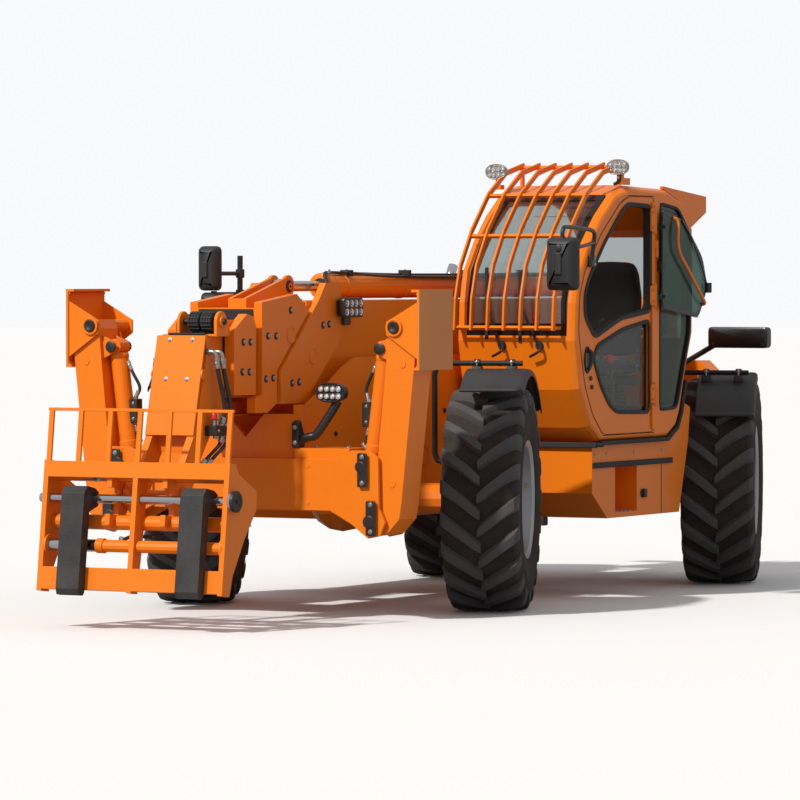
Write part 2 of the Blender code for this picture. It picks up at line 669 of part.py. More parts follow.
def sections(second, third, head):
    shapes = [tube_shapes(1, SECTION_FRONTS[0], SECTION_BACKS[0])] + wear_pads(1, SECTION_FRONTS[0])
    half, _, high = section_box(1)
    shapes += plate_pair("X", COLLAR_MIDDLE, half - 0.002, half + 0.048)
    front = SECTION_FRONTS[0] + 0.12
    eye = circle((-2.29, EXTENSION_Z), 0.062, 16)
    ear = [(front, high - 0.005), (front, 1.75), *[eye[i % 16] for i in range(6, -5, -1)],
           (-2.36, 1.735), (-2.42, high - 0.005)]
    ear_in, ear_out = EXTENSION_ROD + RUN, EXTENSION_ROD + RUN + 0.02
    shapes += plate_pair("X", ear, ear_in, ear_out)
    shapes.append(block((-ear_out, front, high - 0.005), (ear_out, front + 0.02, 1.75)))
    shapes.append(cross_rod(-2.29, EXTENSION_Z, EXTENSION_ROD + RUN + 0.03, 0.02))
    piece("boom_section_2", "orange", second, shapes)
    ram = rod((0, -2.29, EXTENSION_Z), (0, 1.65, EXTENSION_Z), EXTENSION_ROD)
    eye = cross_rod(-2.29, EXTENSION_Z, EXTENSION_ROD + RUN - 0.002, 0.042)
    hole = cross_rod(-2.29, EXTENSION_Z, 0.1, 0.02 + SLIDE_PLAY)
    piece("extension_rod", "chrome", second, [ram, eye], [hole], smooth=True)

    shapes = [tube_shapes(2, SECTION_FRONTS[1], SECTION_BACKS[1])] + wear_pads(2, SECTION_FRONTS[1])
    half = section_box(2)[0]
    shapes += plate_pair("X", COLLAR_INNER, half - 0.002, half + 0.050)
    piece("boom_section_3", "orange", third, shapes)

    half, low, high = section_box(3)
    back = SECTION_FRONTS[1] - RUN
    arm = [(back, high - 0.105), (-3.36, high - 0.105), (-3.49, 1.03),
           (-3.60, 0.87), (-3.735, 0.74), (-3.735, 0.66), (-3.66, 0.61), (-3.56, 0.66),
           (-3.42, 0.90), (-3.26, 1.10), (back, 1.14)]
    bore = circle((TILT_PIN_Y, TILT_PIN_Z), TILT_PIN_RADIUS + PIN_PLAY)
    shapes = [tube_shapes(3, SECTION_FRONTS[2] + 0.06, SECTION_BACKS[2])]
    shapes += plate_pair("X", arm, half - 0.030, half + 0.013, [bore])
    cover = strip([(-3.495, 1.02), (-3.362, 1.552)], 0.012)
    shapes.append(plate("X", cover, -half - 0.013, half + 0.013))
    shapes.append(block((-half, -3.44, 0.93), (half, -3.42, 1.10)))
    piece("boom_head", "orange", head, shapes)


def along(start, end, distance):
    start, end = Vector(start), Vector(end)
    return start + (end - start).normalized() * distance


def lift_cylinder(barrel_axis, rod_axis):
    top, foot = (0, *LIFT_EYE), (0, *LIFT_FOOT)
    full = (Vector(foot) - Vector(top)).length
    mouth = full - 0.17
    barrel = rod(along(top, foot, 0.09), along(top, foot, mouth), LIFT_RADIUS, 20)
    neck = rod(along(top, foot, 0.0), along(top, foot, 0.12), 0.045)
    eye = cross_rod(*LIFT_EYE, LIFT_RADIUS - 0.005, 0.055)
    bore = rod(along(top, foot, 0.11), along(top, foot, mouth + 0.1), LIFT_ROD + SLIDE_PLAY)
    hole = cross_rod(*LIFT_EYE, 0.2, 0.03 + PIN_PLAY, 24)
    piece("lift_barrel", "orange", barrel_axis, [barrel, neck, eye], [bore, hole], smooth=True)
    ram = rod(along(top, foot, 0.13), along(top, foot, full), LIFT_ROD)
    end = cross_rod(*LIFT_FOOT, 0.044, 0.055)
    piece("lift_rod", "chrome", rod_axis, [ram, end], smooth=True)


# ---------------------------------------------------------------- carriage, in the tilt frame
def carriage(tilt):
    face, half = CARRIAGE_FACE, CARRIAGE_HALF
    shaft_hole = circle(SHAFT_AT, SHAFT_RADIUS + TOUCH, 12)
    side = [(face, -0.53), (face, 0.17), (face + 0.06, 0.17), (face + 0.10, 0.12),
            (face + 0.30, 0.05), (face + 0.31, -0.05), (face + 0.20, -0.22), (face + 0.10, -0.42),
            (face + 0.08, -0.53)]
    shapes = plate_pair("X", side, half - 0.03, half, [shaft_hole])
    centre = [(face, -0.53), (face, 0.17), (face + 0.07, 0.17), (face + 0.10, 0.05),
              (face + 0.10, -0.12), (face + 0.07, -0.53)]
    shapes.append(plate("X", centre, -0.015, 0.015, [shaft_hole]))
    shapes += [
        block((-half + 0.01, face, 0.08), (half - 0.01, face + CARRIAGE_BAR, 0.165)),
        block((-half + 0.01, face, -0.52), (half - 0.01, face + CARRIAGE_BAR, -0.40)),
        cross_rod(-0.10, -0.15, half - 0.01, 0.040),
        cross_rod(-0.10, 0.095, half - 0.01, 0.028),
        cross_rod(face + 0.05, -0.28, half - 0.01, 0.033),
    ]
    y, z = SHAFT_AT
    back, room, heel = y + 0.055 + RUN, 0.055 + RUN, FORK_HEEL + RUN
    ear = [(face + 0.02, -0.17), (face + 0.02, z - heel), (back, z - heel), (back, z + room),
           (face + 0.02, z + room), (face + 0.02, 0.13), (-0.02, 0.065), (0.045, 0.045), (0.060, 0.0),
           (0.045, -0.045), (0, -0.065), (-0.06, -0.17)]
    inner = section_box(3)[0] + 0.013 + RUN
    shapes += plate_pair("X", ear, inner, inner + 0.03)
    shapes.append(cross_rod(0, 0, inner + 0.04, TILT_PIN_RADIUS))
    for i in range(7):
        x = (i - 3) * 0.183
        shapes.append(block((x - 0.014, face + 0.006, 0.15), (x + 0.014, face + 0.020, 0.444)))
    shapes.append(block((-half + 0.001, face + 0.006, 0.434), (half - 0.001, face + 0.020, 0.450)))
    ear_holes = [cross_rod(*SHAFT_AT, half + 0.1, SHAFT_RADIUS + TOUCH)]
    piece("fork_carriage", "orange", tilt, shapes, ear_holes, local=True)
    shaft = [cross_rod(*SHAFT_AT, half + 0.03, SHAFT_RADIUS)]
    shaft.append(rod((half + TOUCH, *SHAFT_AT), (half + 0.03, *SHAFT_AT), 0.055, 24))
    piece("fork_shaft", "chrome", tilt, shaft, local=True, smooth=True)


def forks(tilt):
    y, z = SHAFT_AT
    back = CARRIAGE_FACE - 0.0008
    front = back - 0.065
    shank = [(front, -0.52), (front, -0.01), (front + 0.03, 0.03), (y, z + 0.055), (y + 0.04, z + 0.038),
             (y + 0.055, z), (y + 0.04, z - 0.038), (y, z - 0.055), (back, z - FORK_HEEL), (back, -0.535),
             (back - 0.015, -0.552), (front + 0.012, -0.55)]
    bore = circle(SHAFT_AT, SHAFT_RADIUS + 0.0008, 12)
    for name, x in FORK_PLACES:
        slider = carrier(name + "_slide", (x, 0, 0), tilt)
        piece(name, "black", slider,
              [plate("X", shank, -FORK_WIDTH / 2, FORK_WIDTH / 2, [bore])], local=True)


# ---------------------------------------------------------------- stabilisers
def stabiliser(name, side):
    def at(point):
        return (side * point[0], STABILISER_Y, point[1])

    def pin(point, half, radius, sides=12):
        x, y, z = at(point)
        return rod((x, y - half, z), (x, y + half, z), radius, sides)

    middle = STABILISER_Y
    leg_axis = carrier(name + "_pin", at(LEG_PIN), MACHINE)
    ram_axis = carrier(name + "_ram_pin", tuple(Vector(at(RAM_TOP)) - Vector(at(LEG_PIN))), leg_axis)
    foot_axis = carrier(name + "_foot_pin", tuple(Vector(at(FOOT_PIN)) - Vector(at(LEG_PIN))), leg_axis)
    leg = [(0.816, 0.465), (0.90, 0.48), (0.975, 0.56), (0.99, 0.65), (1.072, 1.44), (1.03, 1.56),
           (0.985, 1.63), (0.93, 1.63), (0.91, 1.58), (0.905, 1.50), (0.822, 0.65), (0.745, 0.585),
           (0.738, 0.53), (0.765, 0.48)]
    shapes = [plate("Y", across(side, leg), middle - LEG_HALF, middle + LEG_HALF)]
    lug = [(0.93, 1.40), (0.93, 1.555), (0.86, 1.52), (0.81, 1.48), (0.835, 1.445)]
    for low, high in ((-0.076, -0.058), (0.058, 0.076)):
        shapes.append(plate("Y", across(side, lug), middle + low, middle + high))
    shapes.append(pin(RAM_TOP, 0.082, RAM_PIN_RADIUS))
    cuts = [pin(LEG_PIN, 0.2, LEG_PIN_RADIUS + PIN_PLAY, 24),
            pin(FOOT_PIN, 0.2, RAM_PIN_RADIUS + PIN_PLAY, 24)]
    piece(name + "_leg", "orange", leg_axis, shapes, cuts)

    top, foot = at(RAM_TOP), at(RAM_FOOT)
    full = (Vector(foot) - Vector(top)).length
    mouth = full - 0.068
    barrel = rod(along(top, foot, 0.035), along(top, foot, mouth), RAM_RADIUS, 20)
    eye = pin(RAM_TOP, 0.052, 0.044)
    bore = rod(along(top, foot, 0.053), along(top, foot, mouth + 0.1), RAM_ROD + SLIDE_PLAY)
    hole = pin(RAM_TOP, 0.1, RAM_PIN_RADIUS + PIN_PLAY, 24)
    piece(name + "_barrel", "orange", ram_axis, [barrel, eye], [bore, hole], smooth=True)
    slide_axis = carrier(name + "_rod_end", tuple(Vector(foot) - Vector(top)), ram_axis)
    ram = rod(along(top, foot, 0.062), along(top, foot, full), RAM_ROD)
    piece(name + "_rod", "chrome", slide_axis, [ram, pin(RAM_FOOT, 0.030, 0.036)], smooth=True)

    flange = [(0.905, 1.625), (1.10, 1.735), (1.10, 1.42), (0.905, 1.555)]
    front, back = middle - 0.125, middle + 0.265
    shapes = [sided(side, (1.096, front, 1.365), (1.111, back, 1.80)),
              sided(side, (1.06, front, 1.785), (1.10, back, 1.80)),
              sided(side, (1.075, front, 1.365), (1.10, back, 1.380))]
    for low in (front + 0.007, back - 0.019):
        shapes.append(plate("Y", across(side, flange), low, low + 0.012))
    x, _, z = at(FOOT_PIN)
    shapes.append(rod((x, front - 0.005, z), (x, back, z), RAM_PIN_RADIUS))
    shapes.append(rod((x, middle + LEG_HALF + RUN, z), (x, back - 0.01, z), 0.035))
    piece(name + "_foot", "orange", foot_axis, shapes)


# ---------------------------------------------------------------- cab
CAB_TAIL = [(0.46, CAB_FLOOR), (0.59, 0.975), (0.644, 1.06), (0.708, 1.25)]
CAB_SIDE = [(-0.80, 1.50), (-0.785, 1.72), (-0.74, 1.90), (-0.60, 2.08), (-0.45, 2.22),
            (-0.26, 2.35), (-0.04, 2.40), (0.46, 2.385), (0.67, 2.32), (0.825, 2.16),
            (0.825, 1.53), *CAB_TAIL[::-1],
            (-0.449, CAB_FLOOR), (-0.60, 1.00), (-0.74, 1.22)]
DOOR_SIDE = [(-0.08, 2.335), (0.264, 2.335), (0.264, 0.955), (-0.42, 0.955), (-0.56, 1.08),
             (-0.66, 1.25), (-0.74, 1.55), (-0.725, 1.76), (-0.66, 1.90), (-0.45, 2.11), (-0.20, 2.29)]
DOOR_UPPER = [(-0.09, 2.285), (0.205, 2.275), (0.205, 1.67), (-0.19, 1.63), (-0.53, 1.525),
              (-0.655, 1.64), (-0.66, 1.76), (-0.60, 1.86), (-0.40, 2.06), (-0.18, 2.24)]
DOOR_LOWER = [(0.195, 1.61), (-0.17, 1.56), (-0.50, 1.47), (-0.55, 1.40), (-0.45, 1.24), (-0.34, 1.13),
              (-0.24, 1.085), (0.195, 1.075)]
QUARTER = [(0.345, 2.30), (0.60, 2.27), (0.765, 2.12), (0.765, 1.54), (0.66, 1.28), (0.585, 1.09),
           (0.345, 1.08)]
FRONT_GLASS_LINE = [(-0.785, 1.53), (-0.785, 1.72), (-0.74, 1.90), (-0.60, 2.08), (-0.45, 2.22),
                    (-0.28, 2.336)]
SIDE_WINDOW = [(-0.70, 1.55), (-0.69, 1.74), (-0.65, 1.86), (-0.54, 2.0), (-0.40, 2.14), (-0.22, 2.27),
               (0.40, 2.29), (0.60, 2.24), (0.74, 2.10), (0.74, 1.55)]
REAR_GLASS = (1.50, 2.10)


def rounded_slab(outline, low, high, reach, steps=4):
    """An outline in (Y, Z) from low to high along X, its high edge rounded by this reach."""
    angles = [math.pi / 2 * i / steps for i in range(steps + 1)]
    rings = [(low, 0.0)]
    rings += [(high - reach * (1 - math.sin(a)), CORNER_IN * (1 - math.cos(a))) for a in angles]
    bm = bmesh.new()
    rows = [[bm.verts.new((x, y, z)) for y, z in inset(outline, shift)] for x, shift in rings]
    for row, following in zip(rows, rows[1:]):
        for i, corner in enumerate(row):
            bm.faces.new((corner, row[i - 1], following[i - 1], following[i]))
    bm.faces.new(rows[0])
    bm.faces.new(rows[-1])
    return from_bmesh(bm)


def hinge_half(low, high, front, back):
    """One knuckle of a door hinge, with its tab between two distances from the hinge's axis."""
    x, y = DOOR_HINGE_X, DOOR_HINGE_Y
    return [rod((x, y, low), (x, y, high), HINGE_RADIUS, 12),
            block((CAB_OUT - 0.02, y + front, low), (x, y + back, high))]


def cab_shell():
    room = inset(CAB_SIDE, CAB_WALL)
    outer = rounded_slab(CAB_SIDE, CAB_IN, CAB_OUT, CAB_ROUND)
    opening = inset(DOOR_SIDE, -DOOR_GAP)
    cuts = [
        plate("X", room, CAB_IN + CAB_WALL, CAB_OUT - CAB_WALL),
        plate("X", opening, CAB_OUT - CAB_WALL - 0.02, CAB_OUT + 0.02),
        plate("X", QUARTER, CAB_OUT - CAB_WALL - 0.02, CAB_OUT + 0.02),
        plate("X", inset(SIDE_WINDOW, -TOUCH), CAB_IN - 0.02, CAB_IN + CAB_WALL + 0.02),
        plate("X", strip(FRONT_GLASS_LINE, 0.20, -0.10), CAB_IN + 0.05, CAB_OUT - 0.05),
        block((CAB_IN + 0.07, 0.70, REAR_GLASS[0]), (CAB_OUT - 0.07, 0.90, REAR_GLASS[1])),
    ]
    hollow = helper(combine([outer], cuts))
    lugs = []
    for z in HINGE_HEIGHTS:
        lugs += hinge_half(z, z + 0.05, 0.004, 0.035)
    piece("cab_shell", "orange", MACHINE, [hollow, *lugs], smooth=True)


def cab_glass():
    shade = GLASS
    short = [(-0.785, 1.5305), *FRONT_GLASS_LINE[1:-1], (-0.2804, 2.3357)]
    screen = plate("X", strip(short, shade, -0.012), CAB_IN + 0.05 + TOUCH, CAB_OUT - 0.05 - TOUCH)
    piece("windscreen", "glass", MACHINE, [screen])
    side_x = CAB_IN + 0.010
    piece("right_window", "glass", MACHINE, [plate("X", SIDE_WINDOW, side_x, side_x + shade)])
    rear = block((CAB_IN + 0.07 + TOUCH, 0.808, REAR_GLASS[0] + TOUCH),
                 (CAB_OUT - 0.07 - TOUCH, 0.808 + shade, REAR_GLASS[1] - TOUCH))
    piece("rear_window", "glass", MACHINE, [rear])
    folded = [(0.30, 2.26), (0.60, 2.20), (0.86, 1.98), (0.93, 1.80), (0.80, 1.62), (0.30, 1.68)]
    pane = plate("X", folded, CAB_OUT + 0.030, CAB_OUT + 0.030 + shade)
    arms = [block((CAB_OUT + TOUCH, 0.305, z), (CAB_OUT + 0.034, 0.345, z + 0.04)) for z in (1.73, 2.14)]
    piece("door_upper_window", "glass", MACHINE, [pane, *arms])


def cab_door():
    hinge = carrier("door_hinge", (DOOR_HINGE_X, DOOR_HINGE_Y, 0), MACHINE)
    slab = plate("X", DOOR_SIDE, CAB_OUT - CAB_WALL, CAB_OUT)
    cuts = [plate("X", DOOR_UPPER, CAB_OUT - 0.1, CAB_OUT + 0.1),
            plate("X", inset(DOOR_LOWER, -TOUCH), CAB_OUT - 0.1, CAB_OUT + 0.1)]
    frame = helper(combine([slab], cuts))
    lugs = []
    for z in HINGE_HEIGHTS:
        lugs += hinge_half(z + 0.0505, z + 0.10, -0.035, -0.005)
    piece("cab_door", "orange", hinge, [frame, *lugs])
    pane = plate("X", DOOR_LOWER, CAB_OUT - 0.024, CAB_OUT - 0.024 + GLASS)
    piece("door_glass", "glass", hinge, [pane])


def windscreen_guard():
    """Curved flat bars over the windscreen and the front of the roof, on three cross rails."""
    line = [(-0.885, 1.56), (-0.87, 1.74), (-0.81, 1.93), (-0.67, 2.13), (-0.46, 2.34), (-0.24, 2.47),
            (0.0, 2.52)]
    shapes = [plate("X", strip(line, 0.030, -0.015), CAB_IN + 0.02 + i * 0.105 - 0.006,
                    CAB_IN + 0.02 + i * 0.105 + 0.006) for i in range(7)]
    x0, x1 = CAB_IN + 0.01, CAB_IN + 0.02 + 6 * 0.105 + 0.01
    for y, z in ((-0.872, 1.575), (-0.68, 2.10), (-0.45, 2.335), (-0.02, 2.505)):
        shapes.append(rod((x0, y, z), (x1, y, z), 0.013, 4))
    for x in (x0 + 0.01, x1 - 0.01):
        shapes.append(block((x - 0.008, -0.87, 1.565), (x + 0.008, -0.7956 - TOUCH, 1.585)))
        shapes.append(block((x - 0.008, -0.035, 2.40 + TOUCH), (x + 0.008, -0.005, 2.51)))
    piece("windscreen_guard", "orange", MACHINE, shapes)


def cab_inside():
    floor = CAB_FLOOR + CAB_WALL + TOUCH
    seat = [block((0.50, 0.02, floor), (0.90, 0.38, 1.25)),
            block((0.46, -0.08, 1.25 - 0.005), (0.94, 0.42, 1.40)),
            plate("X", [(0.30, 1.38), (0.42, 1.38), (0.54, 1.98), (0.44, 2.00)], 0.48, 0.92)]
    piece("seat", "seat", MACHINE, seat)
    console = [block((0.58, -0.42, floor), (0.82, -0.26, 1.12)),
               block((0.52, -0.57, 1.11), (0.88, -0.28, 1.22)),
               rod((0.70, -0.42, 1.10), (0.70, -0.26, 1.52), 0.035, 12)]
    tilt = Vector((0, 0.16, 0.42)).normalized()
    centre = Vector((0.70, -0.26, 1.52))
    console.append(rod(centre - tilt * 0.012, centre + tilt * 0.016, 0.19, 24))
    piece("steering_console", "black", MACHINE, console)


def mirrors():
    arm = [(CAB_OUT + 0.012, -0.60, 1.955), (1.13, -0.62, 2.13), (1.15, -1.08, 2.15), (1.15, -1.09, 2.07)]
    left = [pipe(arm, 0.012, 0.03),
            pipe([(1.125, -0.61, 2.06), (1.15, -1.00, 2.03), (1.15, -1.08, 2.03)], 0.010, 0.03),
            block((CAB_OUT + TOUCH, -0.62, 1.925), (CAB_OUT + 0.024, -0.56, 1.985)),
            block((1.055, -1.13, 1.79), (1.245, -1.06, 2.09))]
    piece("left_mirror", "black", MACHINE, left)
    x, y = -1.02, BAY_FRONT - 0.03
    right = [pipe([(x, y, 0.80), (x, y, 1.60), (-1.08, -0.845, 1.70), (-1.08, -0.845, 1.97)], 0.016),
             block((x - 0.03, y, 0.82), (x + 0.03, BAY_FRONT - TOUCH, 0.90)),
             pipe([(-1.08, -0.845, 1.885), (-1.115, -1.12, 1.885)], 0.012),
             pipe([(-1.08, -0.845, 1.765), (-1.115, -1.12, 1.765)], 0.012),
             block((-1.19, -1.17, 1.785), (-1.05, -1.11, 2.045)),
             block((-1.18, -1.15, 1.63), (-1.06, -1.11, 1.775)),
             block((-1.13, -1.14, 1.75), (-1.11, -1.12, 1.80))]
    piece("right_mirrors", "black", MACHINE, right)


def lights():
    for name, side in (("left_rear_light", 1), ("right_rear_light", -1)):
        shapes = [sided(side, (0.66, 1.95, 1.43), (1.05, 2.0, 1.55)),
                  pipe([(side * 0.70, 1.975, 1.45), (side * (FRAME_HALF + 0.02), 1.975, 1.24)], 0.018),
                  sided(side, (FRAME_HALF + TOUCH, 1.93, 1.19), (FRAME_HALF + 0.03, 2.02, 1.29))]
        piece(name, "black", MACHINE, shapes)
    arm = [(0.345, -2.69, 0.96), (0.39, -2.69, 0.985), (0.44, -2.68, 1.0), (0.57, -2.64, 1.20)]
    lens = [(0.536 + 0.088 * math.cos(a), 1.24 + 0.053 * math.sin(a))
            for a in (2 * math.pi * i / 20 for i in range(20))]
    nose = [pipe(arm, 0.024, 0.03), plate("Y", lens, -2.69, -2.62),
            block((0.33, -2.72, 0.937 + TOUCH), (0.39, -2.66, 0.965))]
    piece("nose_light", "black", MACHINE, nose)
    cheek = [(0.46, 2.40), (0.46, 2.3856), (0.6703, 2.3205), (0.8257, 2.1602), (0.86, 2.16),
             (1.07, 2.25), (1.07, 2.345), (0.62, 2.385)]
    out = CAB_OUT - CORNER_IN
    cheeks = plate("X", cheek, out - 0.02, out), plate("X", cheek, CAB_IN, CAB_IN + 0.02)
    lid = block((CAB_IN + 0.01, 0.66, 2.330), (out - 0.01, 1.07, 2.345))
    piece("rear_visor", "orange", MACHINE, [lid, *cheeks])


def main():
    wheels()
    axle("front_axle", FRONT_AXLE_Y)
    axle("rear_axle", REAR_AXLE_Y)
    main_frame()
    counterweight()
    step_box()
    engine_side()
    lift = carrier("boom_lift_pin", (0, PIVOT_Y, PIVOT_Z), MACHINE)
    second = carrier("section_2_slide", (0, 0, 0), lift)
    third = carrier("section_3_slide", (0, 0, 0), second)
    head = carrier("section_4_slide", (0, 0, 0), third)
    boom(lift)
    sections(second, third, head)
    tilt = carrier("tilt_pin", (0, TILT_PIN_Y - PIVOT_Y, TILT_PIN_Z - PIVOT_Z), head, (CARRIAGE_LEAN, 0, 0))
    carriage(tilt)
    forks(tilt)
    ram_pin = carrier("lift_ram_pin", (0, LIFT_EYE[0] - PIVOT_Y, LIFT_EYE[1] - PIVOT_Z), lift)
    ram_slide = carrier("lift_rod_slide", (0, 0, 0), ram_pin)
    lift_cylinder(ram_pin, ram_slide)
    stabiliser("left_stabiliser", 1)
    stabiliser("right_stabiliser", -1)
    cab_shell()
    cab_glass()
    cab_door()
    windscreen_guard()
    cab_inside()
    mirrors()
    lights()


main()
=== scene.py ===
"""Looks for the telescopic handler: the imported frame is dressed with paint, tyres, glass and fittings.

Metres. The machine faces -Y, its left side is +X and +Z is up. Fittings are placed in the machine's
own numbers, and Work.done() moves them back by SET_BACK into the frame that centres the object.
"""
import json
import math

import bmesh
import bpy
from mathutils import Matrix, Vector


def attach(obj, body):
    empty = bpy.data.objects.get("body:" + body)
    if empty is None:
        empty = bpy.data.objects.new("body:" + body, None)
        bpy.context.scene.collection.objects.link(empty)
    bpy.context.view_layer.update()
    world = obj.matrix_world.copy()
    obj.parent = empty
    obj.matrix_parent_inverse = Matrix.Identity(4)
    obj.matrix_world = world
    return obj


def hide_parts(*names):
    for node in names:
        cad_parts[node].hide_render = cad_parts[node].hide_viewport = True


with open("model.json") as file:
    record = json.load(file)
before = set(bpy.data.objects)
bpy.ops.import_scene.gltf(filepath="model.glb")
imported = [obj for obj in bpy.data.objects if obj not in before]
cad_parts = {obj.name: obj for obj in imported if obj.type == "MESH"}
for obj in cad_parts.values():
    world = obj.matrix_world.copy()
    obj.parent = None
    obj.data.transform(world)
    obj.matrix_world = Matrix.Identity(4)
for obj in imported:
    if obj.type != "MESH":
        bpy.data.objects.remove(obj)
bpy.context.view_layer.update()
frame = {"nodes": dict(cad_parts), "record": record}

SET_BACK = 0.788

# Places shared with the frame
FRONT_AXLE_Y, REAR_AXLE_Y = -1.565, 1.53
KINGPIN_X, WHEEL_OFFSET, TYRE_RADIUS = 0.8, 0.13, 0.625
FRONT_STEER, REAR_STEER = math.radians(20), math.radians(21)
TILT_PIN = (0, -3.66, 0.7)
CARRIAGE_LEAN = math.radians(-7.2)
SHAFT_AT = (-0.165, -0.03)
CAB_IN, CAB_OUT = 0.34, 1.08
STABILISER_Y = -2.62
LEG_PIN, RAM_TOP, RAM_FOOT, FOOT_PIN = (0.816, 0.545), (0.845, 1.48), (0.764, 0.842), (0.955, 1.595)
EXTENSION_Z = 1.815


# ---------------------------------------------------------------- shader building
def node(tree, kind, values=None, **settings):
    """A shader node with its settings, its inputs linked to sockets or set to values."""
    made = tree.nodes.new("ShaderNode" + kind)
    for key, value in settings.items():
        setattr(made, key, value)
    for key, value in (values or {}).items():
        if isinstance(value, bpy.types.NodeSocket):
            tree.links.new(value, made.inputs[key])
        else:
            made.inputs[key].default_value = value
    return made


def maths(tree, operation, first, second=0.0, clamp=False):
    """The value socket of one operation on two values or sockets."""
    return node(tree, "Math", {0: first, 1: second}, operation=operation, use_clamp=clamp).outputs[0]


def ranged(tree, value, **ends):
    """The value socket of a range mapped to another, its ends given as from_min, to_max and so on."""
    named = {key.replace("_", " ").title(): end for key, end in ends.items()}
    return node(tree, "MapRange", {"Value": value, **named}).outputs[0]


def object_place(tree):
    """The place on the object, in metres."""
    return node(tree, "TexCoord").outputs["Object"]


def noise(tree, place, **settings):
    """The value socket of clouds of noise over the object."""
    named = {key.title(): value for key, value in settings.items()}
    return node(tree, "TexNoise", {"Vector": place, **named}).outputs["Fac"]


def effect(name, inputs, outputs):
    """An empty node group with named inputs and outputs, and its two end nodes."""
    tree = bpy.data.node_groups.new(name, "ShaderNodeTree")
    for label, kind, value in inputs:
        socket = tree.interface.new_socket(label, in_out="INPUT", socket_type="NodeSocket" + kind)
        socket.default_value = value
    for label, kind in outputs:
        tree.interface.new_socket(label, in_out="OUTPUT", socket_type="NodeSocket" + kind)
    return tree, tree.nodes.new("NodeGroupInput").outputs, tree.nodes.new("NodeGroupOutput").inputs


def make_edge_wear():
    """Masks the outer edges, where paint rubs thin, and rounds the normal over them."""
    tree, given, out = effect("edge_wear", (("Radius", "Float", 0.004), ("Amount", "Float", 0.5)),
        (("Worn", "Float"), ("Rounded", "Vector")))
    bevel = node(tree, "Bevel", {"Radius": given["Radius"]}, samples=4).outputs[0]
    flat = node(tree, "NewGeometry").outputs["Normal"]
    along = node(tree, "VectorMath", {0: bevel, 1: flat}, operation="DOT_PRODUCT").outputs["Value"]
    rubbed = ranged(tree, maths(tree, "SUBTRACT", 1.0, along), from_min=0.03, from_max=0.2)
    patches = noise(tree, object_place(tree), scale=9.0, detail=5.0)
    both = maths(tree, "MULTIPLY", rubbed, ranged(tree, patches, from_min=0.48, from_max=0.68))
    tree.links.new(maths(tree, "MULTIPLY", both, given["Amount"], clamp=True), out["Worn"])
    tree.links.new(bevel, out["Rounded"])
    return tree


def make_settled_dust():
    """Masks dust that thickens towards the ground and gathers in patches."""
    tree, given, out = effect("settled_dust", (("Full height", "Float", 0.2),
        ("Clear height", "Float", 1.4), ("Amount", "Float", 0.4), ("Patch scale", "Float", 5.0)),
        (("Dust", "Float"),))
    place = object_place(tree)
    height = node(tree, "SeparateXYZ", {0: place}).outputs["Z"]
    low = ranged(tree, height, from_min=given["Full height"], from_max=given["Clear height"], to_min=1.0,
        to_max=0.12)
    patches = noise(tree, place, scale=given["Patch scale"], detail=8.0, roughness=0.62)
    both = maths(tree, "MULTIPLY", low, ranged(tree, patches, from_min=0.36, from_max=0.72))
    tree.links.new(maths(tree, "MULTIPLY", both, given["Amount"], clamp=True), out["Dust"])
    return tree


def make_colour_drift():
    """Drifts a colour a little lighter and darker over the surface."""
    tree, given, out = effect("colour_drift", (("Colour", "Color", (1, 1, 1, 1)), ("Amount", "Float", 0.1),
        ("Scale", "Float", 2.0)), (("Colour", "Color"),))
    clouds = noise(tree, object_place(tree), scale=given["Scale"], detail=4.0)
    swing = maths(tree, "MULTIPLY", maths(tree, "SUBTRACT", clouds, 0.5), given["Amount"])
    shade = node(tree, "VectorMath", {0: given["Colour"], "Scale": maths(tree, "ADD", swing, 1.0)},
        operation="SCALE")
    tree.links.new(shade.outputs[0], out["Colour"])
    return tree


def make_surface_grain():
    """A fine height pattern: soft waves under small pits."""
    tree, given, out = effect("surface_grain", (("Scale", "Float", 200.0), ("Pits", "Float", 0.3)),
        (("Height", "Float"),))
    place = object_place(tree)
    waves = noise(tree, place, scale=given["Scale"], detail=3.0)
    pits = node(tree, "TexVoronoi", {"Vector": place, "Scale": given["Scale"]}).outputs["Distance"]
    tree.links.new(maths(tree, "ADD", waves, maths(tree, "MULTIPLY", pits, given["Pits"])), out["Height"])
    return tree


EDGE_WEAR, SETTLED_DUST = make_edge_wear(), make_settled_dust()
COLOUR_DRIFT, SURFACE_GRAIN = make_colour_drift(), make_surface_grain()


def placed(tree, group, values):
    """The outputs of a group placed in a tree, its inputs linked to sockets or set to values."""
    made = tree.nodes.new("ShaderNodeGroup")
    made.node_tree = group
    for key, value in values.items():
        if isinstance(value, bpy.types.NodeSocket):
            tree.links.new(value, made.inputs[key])
        else:
            made.inputs[key].default_value = value
    return made.outputs


def blended(tree, share, first, second):
    """The colour socket of a mix from first to second."""
    mix = node(tree, "Mix", data_type="RGBA")
    for socket, value in ((mix.inputs[0], share), (mix.inputs[6], first), (mix.inputs[7], second)):
        if isinstance(value, bpy.types.NodeSocket):
            tree.links.new(value, socket)
        else:
            socket.default_value = value
    return mix.outputs[2]


def new_material(name):
    """A material, its node tree and its Principled shader."""
    material = bpy.data.materials.new(name)
    material.use_nodes = True
    return material, material.node_tree, material.node_tree.nodes["Principled BSDF"]


